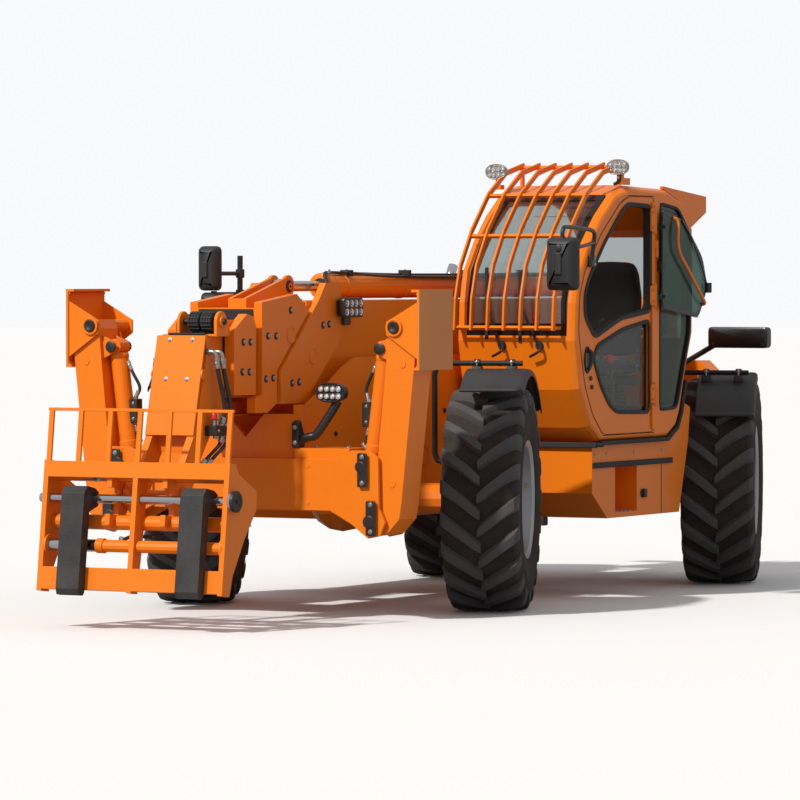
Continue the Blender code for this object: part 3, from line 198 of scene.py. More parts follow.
def finish(name, colour, roughness=0.4, metallic=0.0, coat=0.0, drift=0.12, drift_scale=2.0, grain=120.0,
    depth=0.0004, pits=0.2, dust=0.25, dust_colour=(0.2, 0.15, 0.1), dust_top=1.3, edge=0.0035, worn=0.3,
    worn_colour=(0.25, 0.2, 0.17), second=None, specular=0.5):
    """A finish made of drifting colour, worn edges, dust and grain.

    second = (colour, axis, low, high, raggedness) paints another colour where that coordinate, without its
    sign, passes from low to high.
    """
    material, tree, shader = new_material(name)
    base = (*colour, 1)
    if second:
        colour_to, axis, low, high, raggedness = second
        place = object_place(tree)
        edge_of = ranged(tree, noise(tree, place, scale=14.0, detail=6.0), to_min=-raggedness,
            to_max=raggedness)
        size = maths(tree, "ABSOLUTE", node(tree, "SeparateXYZ", {0: place}).outputs[axis])
        share = ranged(tree, maths(tree, "ADD", size, edge_of), from_min=low, from_max=high)
        base = blended(tree, share, base, (*colour_to, 1))
    drifted = placed(tree, COLOUR_DRIFT, {"Colour": base, "Amount": drift, "Scale": drift_scale})["Colour"]
    edges = placed(tree, EDGE_WEAR, {"Radius": edge, "Amount": worn})
    rubbed = blended(tree, edges["Worn"], drifted, (*worn_colour, 1))
    dirt = placed(tree, SETTLED_DUST, {"Amount": dust, "Clear height": dust_top})["Dust"]
    tree.links.new(blended(tree, dirt, rubbed, (*dust_colour, 1)), shader.inputs["Base Color"])
    height = placed(tree, SURFACE_GRAIN, {"Scale": grain, "Pits": pits})["Height"]
    rough = ranged(tree, height, from_min=0.3, from_max=0.9, to_min=roughness * 0.85, to_max=roughness * 1.2)
    dull = ranged(tree, dirt, to_min=0.0, to_max=0.5)
    tree.links.new(maths(tree, "ADD", rough, dull, clamp=True), shader.inputs["Roughness"])
    bump = node(tree, "Bump", {"Height": height, "Normal": edges["Rounded"], "Distance": depth,
        "Strength": 1.0})
    tree.links.new(bump.outputs[0], shader.inputs["Normal"])
    shader.inputs["Metallic"].default_value = metallic
    shader.inputs["Coat Weight"].default_value = coat
    shader.inputs["Coat Roughness"].default_value = 0.08
    shader.inputs["Specular IOR Level"].default_value = specular
    return material


def pane_finish(name, colour, strength, tint_edge):
    """Clear tinted glass with faint smears in its gloss."""
    material, tree, shader = new_material(name)
    tint = placed(tree, COLOUR_DRIFT, {"Colour": (*colour, 1), "Amount": tint_edge, "Scale": 1.5})["Colour"]
    tree.links.new(tint, shader.inputs["Base Color"])
    smears = placed(tree, SETTLED_DUST, {"Amount": 0.1, "Full height": 0.8, "Clear height": 3.0,
        "Patch scale": 9.0})["Dust"]
    tree.links.new(ranged(tree, smears, to_min=0.01, to_max=0.5), shader.inputs["Roughness"])
    shader.inputs["Transmission Weight"].default_value = strength
    shader.inputs["IOR"].default_value = 1.22
    return material


def weave_finish(name, colour, thread):
    """Woven seat cloth: crossed threads in the height and the colour."""
    material, tree, shader = new_material(name)
    threads = [node(tree, "TexWave", {"Vector": object_place(tree), "Scale": thread, "Distortion": 0.6,
        "Detail": 2.0}, bands_direction=direction).outputs["Fac"] for direction in ("X", "Z")]
    woven = maths(tree, "MULTIPLY", *threads)
    light = blended(tree, woven, (*(c * 0.5 for c in colour), 1), (*(c * 1.6 for c in colour), 1))
    tree.links.new(placed(tree, COLOUR_DRIFT, {"Colour": light, "Amount": 0.25, "Scale": 6.0})["Colour"],
        shader.inputs["Base Color"])
    bump = node(tree, "Bump", {"Height": woven, "Distance": 0.0015})
    tree.links.new(bump.outputs[0], shader.inputs["Normal"])
    shader.inputs["Roughness"].default_value = 0.9
    shader.inputs["Sheen Weight"].default_value = 0.3
    return material


ORANGE = (0.86, 0.2, 0.006)
FINISHES = {"orange_enamel": finish("orange_enamel", ORANGE, 0.34, coat=0.12, drift=0.12, dust=0.12,
    specular=0.3, dust_colour=(0.42, 0.16, 0.05), worn=0.22, worn_colour=(0.42, 0.15, 0.05)),
    "knuckle_enamel": finish("knuckle_enamel", ORANGE, 0.36, coat=0.1, dust=0.5, dust_top=0.9, specular=0.3,
    second=((0.012, 0.012, 0.013), "Z", 0.795, 0.8, 0.0)),
    "foot_enamel": finish("foot_enamel", ORANGE, 0.38, coat=0.05, drift=0.3, dust=0.1, specular=0.25,
    dust_colour=(0.42, 0.16, 0.05), worn_colour=(0.3, 0.13, 0.05), worn=0.4,
    second=((0.62, 0.225, 0.055), "X", 1.1, 1.1045, 0.0035)),
    "black_enamel": finish("black_enamel", (0.013, 0.013, 0.014), 0.3, coat=0.2, drift=0.5, dust=0.3,
    dust_colour=(0.1, 0.085, 0.07), worn=0.5, worn_colour=(0.12, 0.12, 0.12)),
    "fork_steel": finish("fork_steel", (0.018, 0.018, 0.019), 0.48, drift=0.6, drift_scale=5.0, grain=70,
    depth=0.0008, dust=0.35, dust_colour=(0.09, 0.07, 0.06), worn=0.9, worn_colour=(0.16, 0.15, 0.14)),
    "moulded_plastic": finish("moulded_plastic", (0.02, 0.02, 0.022), 0.42, grain=350, depth=0.0005,
    pits=0.8, drift=0.4, dust=0.5, dust_top=1.8, dust_colour=(0.11, 0.1, 0.09), edge=0.005, worn=0.3,
    worn_colour=(0.09, 0.09, 0.09)), "carcass_rubber": finish("carcass_rubber", (0.022, 0.018, 0.016), 0.8,
    grain=90, depth=0.0012, pits=0.6, drift=0.7, drift_scale=6.0, dust=0.62, dust_top=1.5, worn=0.3,
    dust_colour=(0.085, 0.062, 0.047), worn_colour=(0.07, 0.06, 0.055)),
    "lug_rubber": finish("lug_rubber", (0.066, 0.066, 0.07), 0.7, grain=140, depth=0.0008, pits=0.6,
    drift=0.5, drift_scale=9.0, dust=0.5, dust_top=1.6, edge=0.004, worn=0.7,
    dust_colour=(0.11, 0.085, 0.07), worn_colour=(0.1, 0.095, 0.09)),
    "rim_silver": finish("rim_silver", (0.42, 0.43, 0.45), 0.36, metallic=0.55, drift=0.15, dust=0.4,
    dust_top=1.2, worn=0.3), "hard_chrome": finish("hard_chrome", (0.62, 0.63, 0.66), 0.1, metallic=1.0,
    drift=0.12, grain=40, depth=0.00004, pits=0.1, dust=0.08, worn=0.0),
    "zinc": finish("zinc", (0.45, 0.44, 0.42), 0.33, metallic=0.9, drift=0.3, drift_scale=30.0, dust=0.2,
    edge=0.001, worn=0.2), "dark_bolt": finish("dark_bolt", (0.055, 0.052, 0.05), 0.4, metallic=0.8,
    drift=0.3, drift_scale=30.0, dust=0.25, edge=0.001, worn=0.5, worn_colour=(0.3, 0.3, 0.3)),
    "brass": finish("brass", (0.55, 0.36, 0.12), 0.3, metallic=1.0, drift=0.3, edge=0.001, worn=0.2),
    "cast_iron": finish("cast_iron", (0.07, 0.07, 0.072), 0.62, metallic=0.3, grain=160, depth=0.001,
    pits=0.7, drift=0.4, dust=0.4, dust_top=1.8), "hose_rubber": finish("hose_rubber",
    (0.016, 0.016, 0.017), 0.55, grain=600, depth=0.0005, drift=0.4, dust=0.25, edge=0.001, worn=0.1),
    "seal_rubber": finish("seal_rubber", (0.01, 0.01, 0.011), 0.62, grain=300, depth=0.0003, drift=0.4,
    dust=0.25, dust_top=1.5, edge=0.002, worn=0.1),
    "glazing_black": finish("glazing_black", (0.006, 0.006, 0.007), 0.12, drift=0.3, depth=0.00005,
    dust=0.1, edge=0.001, worn=0.0), "lamp_mirror": finish("lamp_mirror", (0.82, 0.84, 0.86), 0.06,
    metallic=1.0, drift=0.1, depth=0.00005, dust=0.02, edge=0.001, worn=0.0),
    "lamp_diode": finish("lamp_diode", (0.85, 0.85, 0.8), 0.15, coat=0.6, drift=0.1, depth=0.0001,
    dust=0.02, edge=0.001, worn=0.0), "red_lens": finish("red_lens", (0.5, 0.012, 0.01), 0.12, coat=0.8,
    drift=0.2, grain=240, depth=0.0006, pits=0.9, dust=0.1, edge=0.002, worn=0.0),
    "amber_lens": finish("amber_lens", (0.8, 0.24, 0.01), 0.12, coat=0.8, drift=0.2, grain=240,
    depth=0.0006, pits=0.9, dust=0.1, edge=0.002, worn=0.0),
    "red_plastic": finish("red_plastic", (0.62, 0.012, 0.012), 0.35, drift=0.2, depth=0.0002, edge=0.002),
    "trim_plastic": finish("trim_plastic", (0.035, 0.036, 0.038), 0.6, grain=420, depth=0.0004, pits=0.9,
    drift=0.3, dust=0.15, dust_top=2.5, edge=0.004, worn=0.1),
    "seat_cloth": weave_finish("seat_cloth", (0.03, 0.031, 0.035), 90.0),
    "tinted_pane": pane_finish("tinted_pane", (0.8, 0.86, 0.84), 0.97, 0.1),
    "green_pane": pane_finish("green_pane", (0.16, 0.26, 0.21), 0.8, 0.3),
    "clear_lens": pane_finish("clear_lens", (0.95, 0.97, 0.97), 0.98, 0.04),}


# ---------------------------------------------------------------- mesh building
def inset(outline, distance):
    """A closed outline moved inwards by this distance."""
    area = sum(a[0] * b[1] - b[0] * a[1] for a, b in zip(outline, outline[1:] + outline[:1]))
    sign = 1 if area > 0 else -1
    moved = []
    for i in range(len(outline)):
        before, here, after = (Vector(outline[j % len(outline)]) for j in (i - 1, i, i + 1))
        first, last = (here - before).normalized(), (after - here).normalized()
        normals = [Vector((-d[1], d[0])) * sign for d in (first, last)]
        mean = (normals[0] + normals[1]).normalized()
        reach = distance / max(0.35, mean.dot(normals[0]))
        moved.append((here[0] + mean[0] * reach, here[1] + mean[1] * reach))
    return moved


def strip(path, thickness, offset=0.0):
    """The outline of a sheet that follows an open path, offset to its left."""
    sides = []
    for shift in (offset, offset + thickness):
        line = []
        for i, (a, b) in enumerate(path):
            ways = []
            if i:
                ways.append((Vector(path[i]) - Vector(path[i - 1])).normalized())
            if i < len(path) - 1:
                ways.append((Vector(path[i + 1]) - Vector(path[i])).normalized())
            normals = [Vector((-d[1], d[0])) for d in ways]
            mean = sum(normals, Vector((0, 0))).normalized()
            reach = shift / mean.dot(normals[0])
            line.append((a + mean[0] * reach, b + mean[1] * reach))
        sides.append(line)
    return sides[0] + sides[1][::-1]


def rounded(outline, radius, steps=4):
    """A closed outline with its corners rounded."""
    made = []
    count = len(outline)
    for i in range(count):
        before, here, after = (Vector(outline[j % count]) for j in (i - 1, i, i + 1))
        reach = min(radius, (before - here).length * 0.45, (after - here).length * 0.45)
        into, out = (before - here).normalized() * reach, (after - here).normalized() * reach
        for step in range(steps + 1):
            t = step / steps
            point = (here + into) * (1 - t) ** 2 + here * (2 * t * (1 - t)) + (here + out) * t * t
            made.append((point[0], point[1]))
    return made


def rectangle(low, high):
    """The corners of a rectangle between two corners."""
    return [(low[0], low[1]), (high[0], low[1]), (high[0], high[1]), (low[0], high[1])]


def oval(centre, half_wide, half_tall, count=28, power=1.0):
    """Points round an ellipse, squarer as the power falls below one."""
    points = []
    for i in range(count):
        a = 2 * math.pi * i / count
        c, s = math.cos(a), math.sin(a)
        points.append((centre[0] + half_wide * math.copysign(abs(c) ** power, c),
            centre[1] + half_tall * math.copysign(abs(s) ** power, s)))
    return points


def smoothed(points, steps=6):
    """Points along a smooth curve through these places."""
    places = [Vector(p) for p in points]
    ends = [places[0] * 2 - places[1], *places, places[-1] * 2 - places[-2]]
    made = []
    for i in range(1, len(ends) - 2):
        p0, p1, p2, p3 = ends[i - 1:i + 3]
        for step in range(steps):
            t = step / steps
            made.append(0.5 * ((2 * p1) + (p2 - p0) * t + (2 * p0 - 5 * p1 + 4 * p2 - p3) * t * t
                + (3 * p1 - p0 - 3 * p2 + p3) * t ** 3))
    return made + [places[-1]]


def beside(direction):
    """Two directions square to this one and to each other."""
    direction = Vector(direction).normalized()
    helper = Vector((0, 0, 1)) if abs(direction.z) < 0.9 else Vector((1, 0, 0))
    first = direction.cross(helper).normalized()
    return first, direction.cross(first)


PLACED = {"X": lambda d, p: (d, p[0], p[1]), "Y": lambda d, p: (p[0], d, p[1]), "Z": lambda d,
    p: (p[0], p[1], d)}


class Work:
    """A piece in the making: its corners, its faces and the finish of each face."""

    def __init__(self):
        self.corners, self.faces, self.finishes = [], [], []

    def loft(self, loops, finish_name, ring=False):
        """A skin through loops of corners, closed by its end faces or back to its first loop."""
        start, count, rows = len(self.corners), len(loops[0]), len(loops)
        for loop in loops:
            self.corners += [tuple(corner) for corner in loop]
        for r in range(rows if ring else rows - 1):
            a, b = start + r * count, start + (r + 1) % rows * count
            for i in range(count):
                j = (i + 1) % count
                self.faces.append((a + i, a + j, b + j, b + i))
                self.finishes.append(finish_name)
        for row in () if ring else (0, rows - 1):
            self.faces.append(tuple(range(start + row * count, start + (row + 1) * count)))
            self.finishes.append(finish_name)
        return self

    def levels(self, axis, rows, finish_name, ring=False):
        """A loft of flat outlines square to an axis: rows of (place along it, outline)."""
        return self.loft([[PLACED[axis](d, p) for p in outline] for d, outline in rows], finish_name, ring)

    def plate(self, axis, outline, low, high, finish_name, chamfer=0.0):
        """A flat outline given thickness along an axis, with chamfered edges if wanted."""
        if not chamfer:
            return self.levels(axis, [(low, outline), (high, outline)], finish_name)
        small = inset(outline, chamfer)
        return self.levels(axis, [(low, small), (low + chamfer, outline), (high - chamfer, outline),
            (high, small)], finish_name)

    def block(self, low, high, finish_name, radius=0.006):
        """A rounded upright block between two corners."""
        outline = rounded(rectangle(low[:2], high[:2]), radius, 3)
        return self.plate("Z", outline, low[2], high[2], finish_name,
            min(radius, (high[2] - low[2]) / 3) * 0.6)

    def band(self, axis, outer, inner, low, high, finish_name):
        """A flat frame between two outlines."""
        rows = ((low, outer), (high, outer), (high, inner), (low, inner))
        return self.levels(axis, rows, finish_name, ring=True)

    def wheel_ring(self, profile, finish_name, sides):
        """A closed profile of (distance, radius) turned about the X axis."""
        angles = [2 * math.pi * k / sides for k in range(sides)]
        return self.loft([[(x, r * math.cos(a), r * math.sin(a)) for a in angles] for x, r in profile],
            finish_name, ring=True)

    def lathe(self, start, direction, profile, finish_name, sides=32, turn=0.0):
        """Turned about a line from start: profile of (distance along, radius)."""
        start, direction = Vector(start), Vector(direction).normalized()
        first, second = beside(direction)
        loops = []
        for distance, radius in profile:
            centre = start + direction * distance
            radius = max(radius, 0.0004)
            loops.append([centre + (first * math.cos(turn + 2 * math.pi * i / sides) + second
                * math.sin(turn + 2 * math.pi * i / sides)) * radius for i in range(sides)])
        return self.loft(loops, finish_name)

    def rod(self, start, end, radius, finish_name, sides=24, chamfer=0.002):
        """A round bar with chamfered ends."""
        length = (Vector(end) - Vector(start)).length
        chamfer = min(chamfer, length / 3, radius / 3)
        return self.lathe(start, Vector(end) - Vector(start),
            [(0, radius - chamfer), (chamfer, radius), (length - chamfer, radius),
            (length, radius - chamfer)], finish_name, sides)

    def tube(self, points, radius, finish_name, sides=12, steps=6):
        """A round bar bent smoothly through points."""
        path = smoothed(points, steps)
        first, _ = beside(path[1] - path[0])
        loops = []
        for i, here in enumerate(path):
            way = (path[min(i + 1, len(path) - 1)] - path[max(i - 1, 0)]).normalized()
            first = (first - way * first.dot(way)).normalized()
            second = way.cross(first)
            loops.append([here + (first * math.cos(2 * math.pi * k / sides) + second
                * math.sin(2 * math.pi * k / sides)) * radius for k in range(sides)])
        return self.loft(loops, finish_name)

    def bolt(self, place, direction, size, finish_name="zinc", washer=True):
        """A hexagon bolt head on its washer."""
        if washer:
            self.lathe(place, direction, [(-0.001, size * 1.25), (size * 0.16, size * 1.25),
                (size * 0.2, size * 1.1)], finish_name, 18)
        self.lathe(place, direction, [(0, size), (size * 0.62, size), (size * 0.8, size * 0.82),
            (size * 0.84, size * 0.3)], finish_name, 6, 0.3)
        return self

    def hose(self, points, radius):
        """A rubber hose with a crimped sleeve and a nut at each end."""
        self.tube(points, radius, "hose_rubber", 12, 8)
        for here, after in ((points[0], points[1]), (points[-1], points[-2])):
            way = Vector(after) - Vector(here)
            self.lathe(here, way, [(0, radius * 1.1), (0.01, radius * 1.5), (0.012, radius * 1.25),
                (0.04, radius * 1.3), (0.044, radius)], "zinc", 14)
            self.lathe(Vector(here) - way.normalized() * 0.012, way,
                [(0, radius * 1.6), (0.016, radius * 1.6)], "zinc", 6)
        return self

    def diodes(self, centre, columns, rows, pitch, radius):
        """Rows of small dished reflectors, each with its diode, facing forwards."""
        for column in range(columns):
            for row in range(rows):
                x = centre[0] + (column - (columns - 1) / 2) * pitch[0]
                z = centre[2] + (row - (rows - 1) / 2) * pitch[1]
                place = (x, centre[1], z)
                self.lathe(place, (0, -1, 0), [(-0.006, radius), (0.004, radius), (0.004, radius * 0.86),
                    (-0.002, radius * 0.45)], "lamp_mirror", 16)
                self.lathe(place, (0, -1, 0), [(-0.004, radius * 0.45), (0.001, radius * 0.38),
                    (0.003, radius * 0.2)], "lamp_diode", 10)
        return self

    def done(self, name, body, place=Matrix(), sharp=34, round_off=0, stands_for=None):
        """The finished object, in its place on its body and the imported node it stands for."""
        mesh = bpy.data.meshes.new(name)
        mesh.from_pydata(self.corners, [], self.faces)
        used = list(dict.fromkeys(self.finishes))
        for finish_name in used:
            mesh.materials.append(FINISHES[finish_name])
        mesh.polygons.foreach_set("material_index", [used.index(f) for f in self.finishes])
        bm = bmesh.new()
        bm.from_mesh(mesh)
        bmesh.ops.recalc_face_normals(bm, faces=bm.faces)
        bm.transform(Matrix.Translation((0, SET_BACK, 0)) @ place)
        bm.to_mesh(mesh)
        bm.free()
        mesh.shade_smooth()
        if not round_off:
            mesh.set_sharp_from_angle(angle=math.radians(sharp))
        made = bpy.data.objects.new(name, mesh)
        bpy.context.scene.collection.objects.link(made)
        if round_off:
            made.modifiers.new("round_off", "SUBSURF").levels = round_off
            made.modifiers["round_off"].render_levels = round_off
        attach(made, body)
        if stands_for:
            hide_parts(stands_for)
        return made


# ---------------------------------------------------------------- wheels
def corner_places():
    """Name, side, wheel frame and kingpin frame of each corner."""
    for name, side, y, steer in (("front_left", 1, FRONT_AXLE_Y, FRONT_STEER),
        ("front_right", -1, FRONT_AXLE_Y, FRONT_STEER), ("rear_left", 1, REAR_AXLE_Y, REAR_STEER),
        ("rear_right", -1, REAR_AXLE_Y, REAR_STEER)):
        pin = Matrix.Translation((side * KINGPIN_X, y, TYRE_RADIUS)) @ Matrix.Rotation(steer, 4, "Z")
        yield name, side, pin @ Matrix.Translation((side * WHEEL_OFFSET, 0, 0)), pin


TYRE_LUGS, WHEEL_NUTS, HUB_BOLTS = 20, 10, 8
# radius, first and last angle from the top in degrees, and the place of the carrying tube
FRONT_FENDER = (0.72, -32, 48, (0, 0.7595))
REAR_FENDER = (0.66, -52, -12, (-0.26, 0.66))


def tyre(name, place):
    """A tractor-pattern tyre: carcass, raised wall rings and two rows of hooked lugs."""
    work = Work()
    wall = [(0.177, 0.31), (0.196, 0.318), (0.204, 0.335), (0.203, 0.35), (0.21, 0.362), (0.219, 0.4),
        (0.2235, 0.455), (0.2235, 0.47), (0.221, 0.475), (0.221, 0.483), (0.219, 0.488), (0.216, 0.525),
        (0.207, 0.556), (0.188, 0.574), (0.13, 0.583), (0.0, 0.587)]
    profile = wall + [(-x, r) for x, r in wall[-2::-1]]
    work.wheel_ring(profile, "carcass_rubber", 96)
    line = [(0.004, -0.022), (0.022, 0.002), (0.05, 0.026), (0.09, 0.059), (0.135, 0.094), (0.175, 0.124),
        (0.2, 0.141), (0.212, 0.15), (0.219, 0.156)]
    top = [0.622, 0.6245, 0.6245, 0.624, 0.6225, 0.619, 0.611, 0.592, 0.56]
    wide = [0.022, 0.029, 0.031, 0.031, 0.031, 0.032, 0.034, 0.037, 0.04]
    for half in (1, -1):
        for i in range(TYRE_LUGS):
            start = 2 * math.pi * (i + (0.25 if half > 0 else 0.75)) / TYRE_LUGS
            loops = []
            for k, ((x, arc), r, w) in enumerate(zip(line, top, wide)):
                x -= 0.012 * (k == 0)
                low = 0.575 if x < 0.18 else (0.562 if x < 0.205 else (0.545 if x < 0.215 else 0.52))
                row = []
                for off, radius in ((-w - 0.013, low), (-w, r - 0.004), (-w + 0.004, r), (w - 0.004, r),
                    (w, r - 0.004), (w + 0.013, low)):
                    angle = start + (arc + off) / 0.62
                    row.append((half * x, -radius * math.cos(angle), radius * math.sin(angle)))
                loops.append(row)
            work.loft(loops, "lug_rubber")
    work.done(name + "_tractor_tyre", name + "_wheel", place, stands_for=name + "_tyre")


def wheel_rim(name, s, place):
    """A pressed steel wheel with its hub housing and ten nuts; s is the side it faces."""
    work = Work()
    profile = [(-0.205, 0.332), (-0.196, 0.33), (-0.19, 0.31), (-0.165, 0.3075), (-0.1, 0.285),
        (0.06, 0.285), (0.165, 0.3075), (0.19, 0.31), (0.196, 0.33), (0.205, 0.332), (0.205, 0.322),
        (0.192, 0.3), (0.165, 0.296), (0.06, 0.272), (0.058, 0.262), (0.075, 0.215), (0.05, 0.18),
        (0.032, 0.155), (0.03, 0.1), (-0.01, 0.1)]
    inner = [(-0.01, 0.255), (-0.1, 0.27), (-0.19, 0.3), (-0.205, 0.32)]
    work.wheel_ring([(x * s, r) for x, r in profile + inner], "rim_silver", 64)
    work.lathe((0.02 * s, 0, 0), (s, 0, 0), [(0, 0.125), (0.055, 0.122), (0.07, 0.112), (0.075, 0.095),
        (0.11, 0.085), (0.118, 0.07), (0.12, 0.03), (0.126, 0.026), (0.128, 0.0)], "black_enamel", 40)
    for k in range(WHEEL_NUTS):
        a = 2 * math.pi * k / WHEEL_NUTS
        work.bolt((0.035 * s, 0.145 * math.cos(a), 0.145 * math.sin(a)), (s, 0, 0), 0.015)
    for k in range(HUB_BOLTS):
        a = 2 * math.pi * (k + 0.5) / HUB_BOLTS
        work.bolt((0.094 * s, 0.098 * math.cos(a), 0.098 * math.sin(a)), (s, 0, 0), 0.007, "dark_bolt")
    work.rod((0.15 * s, 0.262, 0.06), (0.185 * s, 0.268, 0.06), 0.005, "brass", 10)
    work.done(name + "_steel_wheel", name + "_wheel", place, stands_for=name + "_rim")


def fender(name, side, place, front):
    """A moulded guard: a curved sheet with a rolled edge, lips, pressed pads and two clamps on its tube."""
    work = Work()
    radius, first, last, bar = FRONT_FENDER if front else REAR_FENDER
    section = [(0.0, -0.004), (0.0, 0.008), (0.02, 0.01), (0.32, 0.01), (0.34, 0.007), (0.352, -0.003),
        (0.355, -0.03), (0.348, -0.03), (0.346, -0.006), (0.336, 0.001), (0.32, 0.003), (0.012, 0.003)]
    rows = 22
    loops = []
    for k in range(rows + 1):
        a = math.radians(first + (last - first) * k / rows)
        lip = 0.006 if k in (0, rows) else 0.0
        loops.append([(side * x, (radius + r + lip) * math.sin(a), (radius + r + lip) * math.cos(a))
            for x, r in section])
    work.loft(loops, "moulded_plastic")
    for angle in (first, last):
        a = math.radians(angle)
        y, z = (radius + 0.006) * math.sin(a), (radius + 0.006) * math.cos(a)
        work.tube([(0, y, z), (side * 0.17, y, z), (side * 0.335, y, z)], 0.009, "moulded_plastic", 10)
    for x in (0.05, 0.245):
        lowest = math.sqrt(radius ** 2 - bar[0] ** 2) + 0.006
        cross = sorted((side * (x - 0.028), side * (x + 0.028)))
        work.block((cross[0], bar[0] - 0.04, lowest - 0.012), (cross[1], bar[0] + 0.04, bar[1] - 0.016),
            "moulded_plastic", 0.008)
        work.lathe((side * (x - 0.018), bar[0], bar[1]), (side, 0, 0),
            [(0, 0.021), (0.002, 0.024), (0.034, 0.024), (0.036, 0.021)], "dark_bolt", 20)
        for dy in (-0.03, 0.03):
            work.rod((side * x, bar[0] + dy, lowest), (side * x, bar[0] + dy, bar[1] + 0.02), 0.005, "zinc",
                8)
            work.bolt((side * x, bar[0] + dy, bar[1] + 0.006), (0, 0, 1), 0.009)
        for dy in (-0.1, 0.075):
            a = math.radians((first + last) / 2) if front else math.asin(bar[0] / radius)
            a += dy / radius
            middle = Vector((side * x, (radius + 0.009) * math.sin(a), (radius + 0.009) * math.cos(a)))
            work.lathe(middle, (0, math.sin(a), math.cos(a)),
                [(-0.004, 0.026), (0.002, 0.024), (0.003, 0.01), (0.001, 0.009)], "moulded_plastic", 18)
    work.done(name + "_mudguard", name + "_steering", place, 50, stands_for=name + "_fender")


def wheels():
    """The tyre, wheel and mudguard of each corner."""
    for name, side, hub, pin in corner_places():
        tyre(name, hub)
        wheel_rim(name, side, hub)
        fender(name, side, pin, name.startswith("front"))


# ---------------------------------------------------------------- boom
def collar_boss(work, y, z, x, side):
    """A pressed round boss on a collar's side."""
    work.lathe((side * x, y, z), (side, 0, 0), [(-0.002, 0.049), (0.004, 0.047), (0.005, 0.04),
        (0.001, 0.036), (0.0015, 0.0)], "orange_enamel", 36)


def collar_bolts(work, places, x, side):
    """Wear-pad bolts sunk in their washers."""
    for y, z in places:
        work.lathe((side * x, y, z), (side, 0, 0), [(-0.002, 0.021), (0.003, 0.02), (0.004, 0.015)],
            "dark_bolt", 20)
        work.bolt((side * (x + 0.002), y, z), (side, 0, 0), 0.0115, "zinc", washer=False)


def mouth_frame(work, y, outer, inner):
    """The black wear strips that show round a section's mouth."""
    work.band("Y", outer, inner, y - 0.007, y + 0.004, "seal_rubber")


SECTION_HALVES = (0.2, 0.1775, 0.157, 0.1365)      # of the four boom sections, from the outer one in
SECTION_LOWS = (1.19, 1.2125, 1.233, 1.2535)
SECTION_TOPS = (1.735, 1.7, 1.635, 1.56)


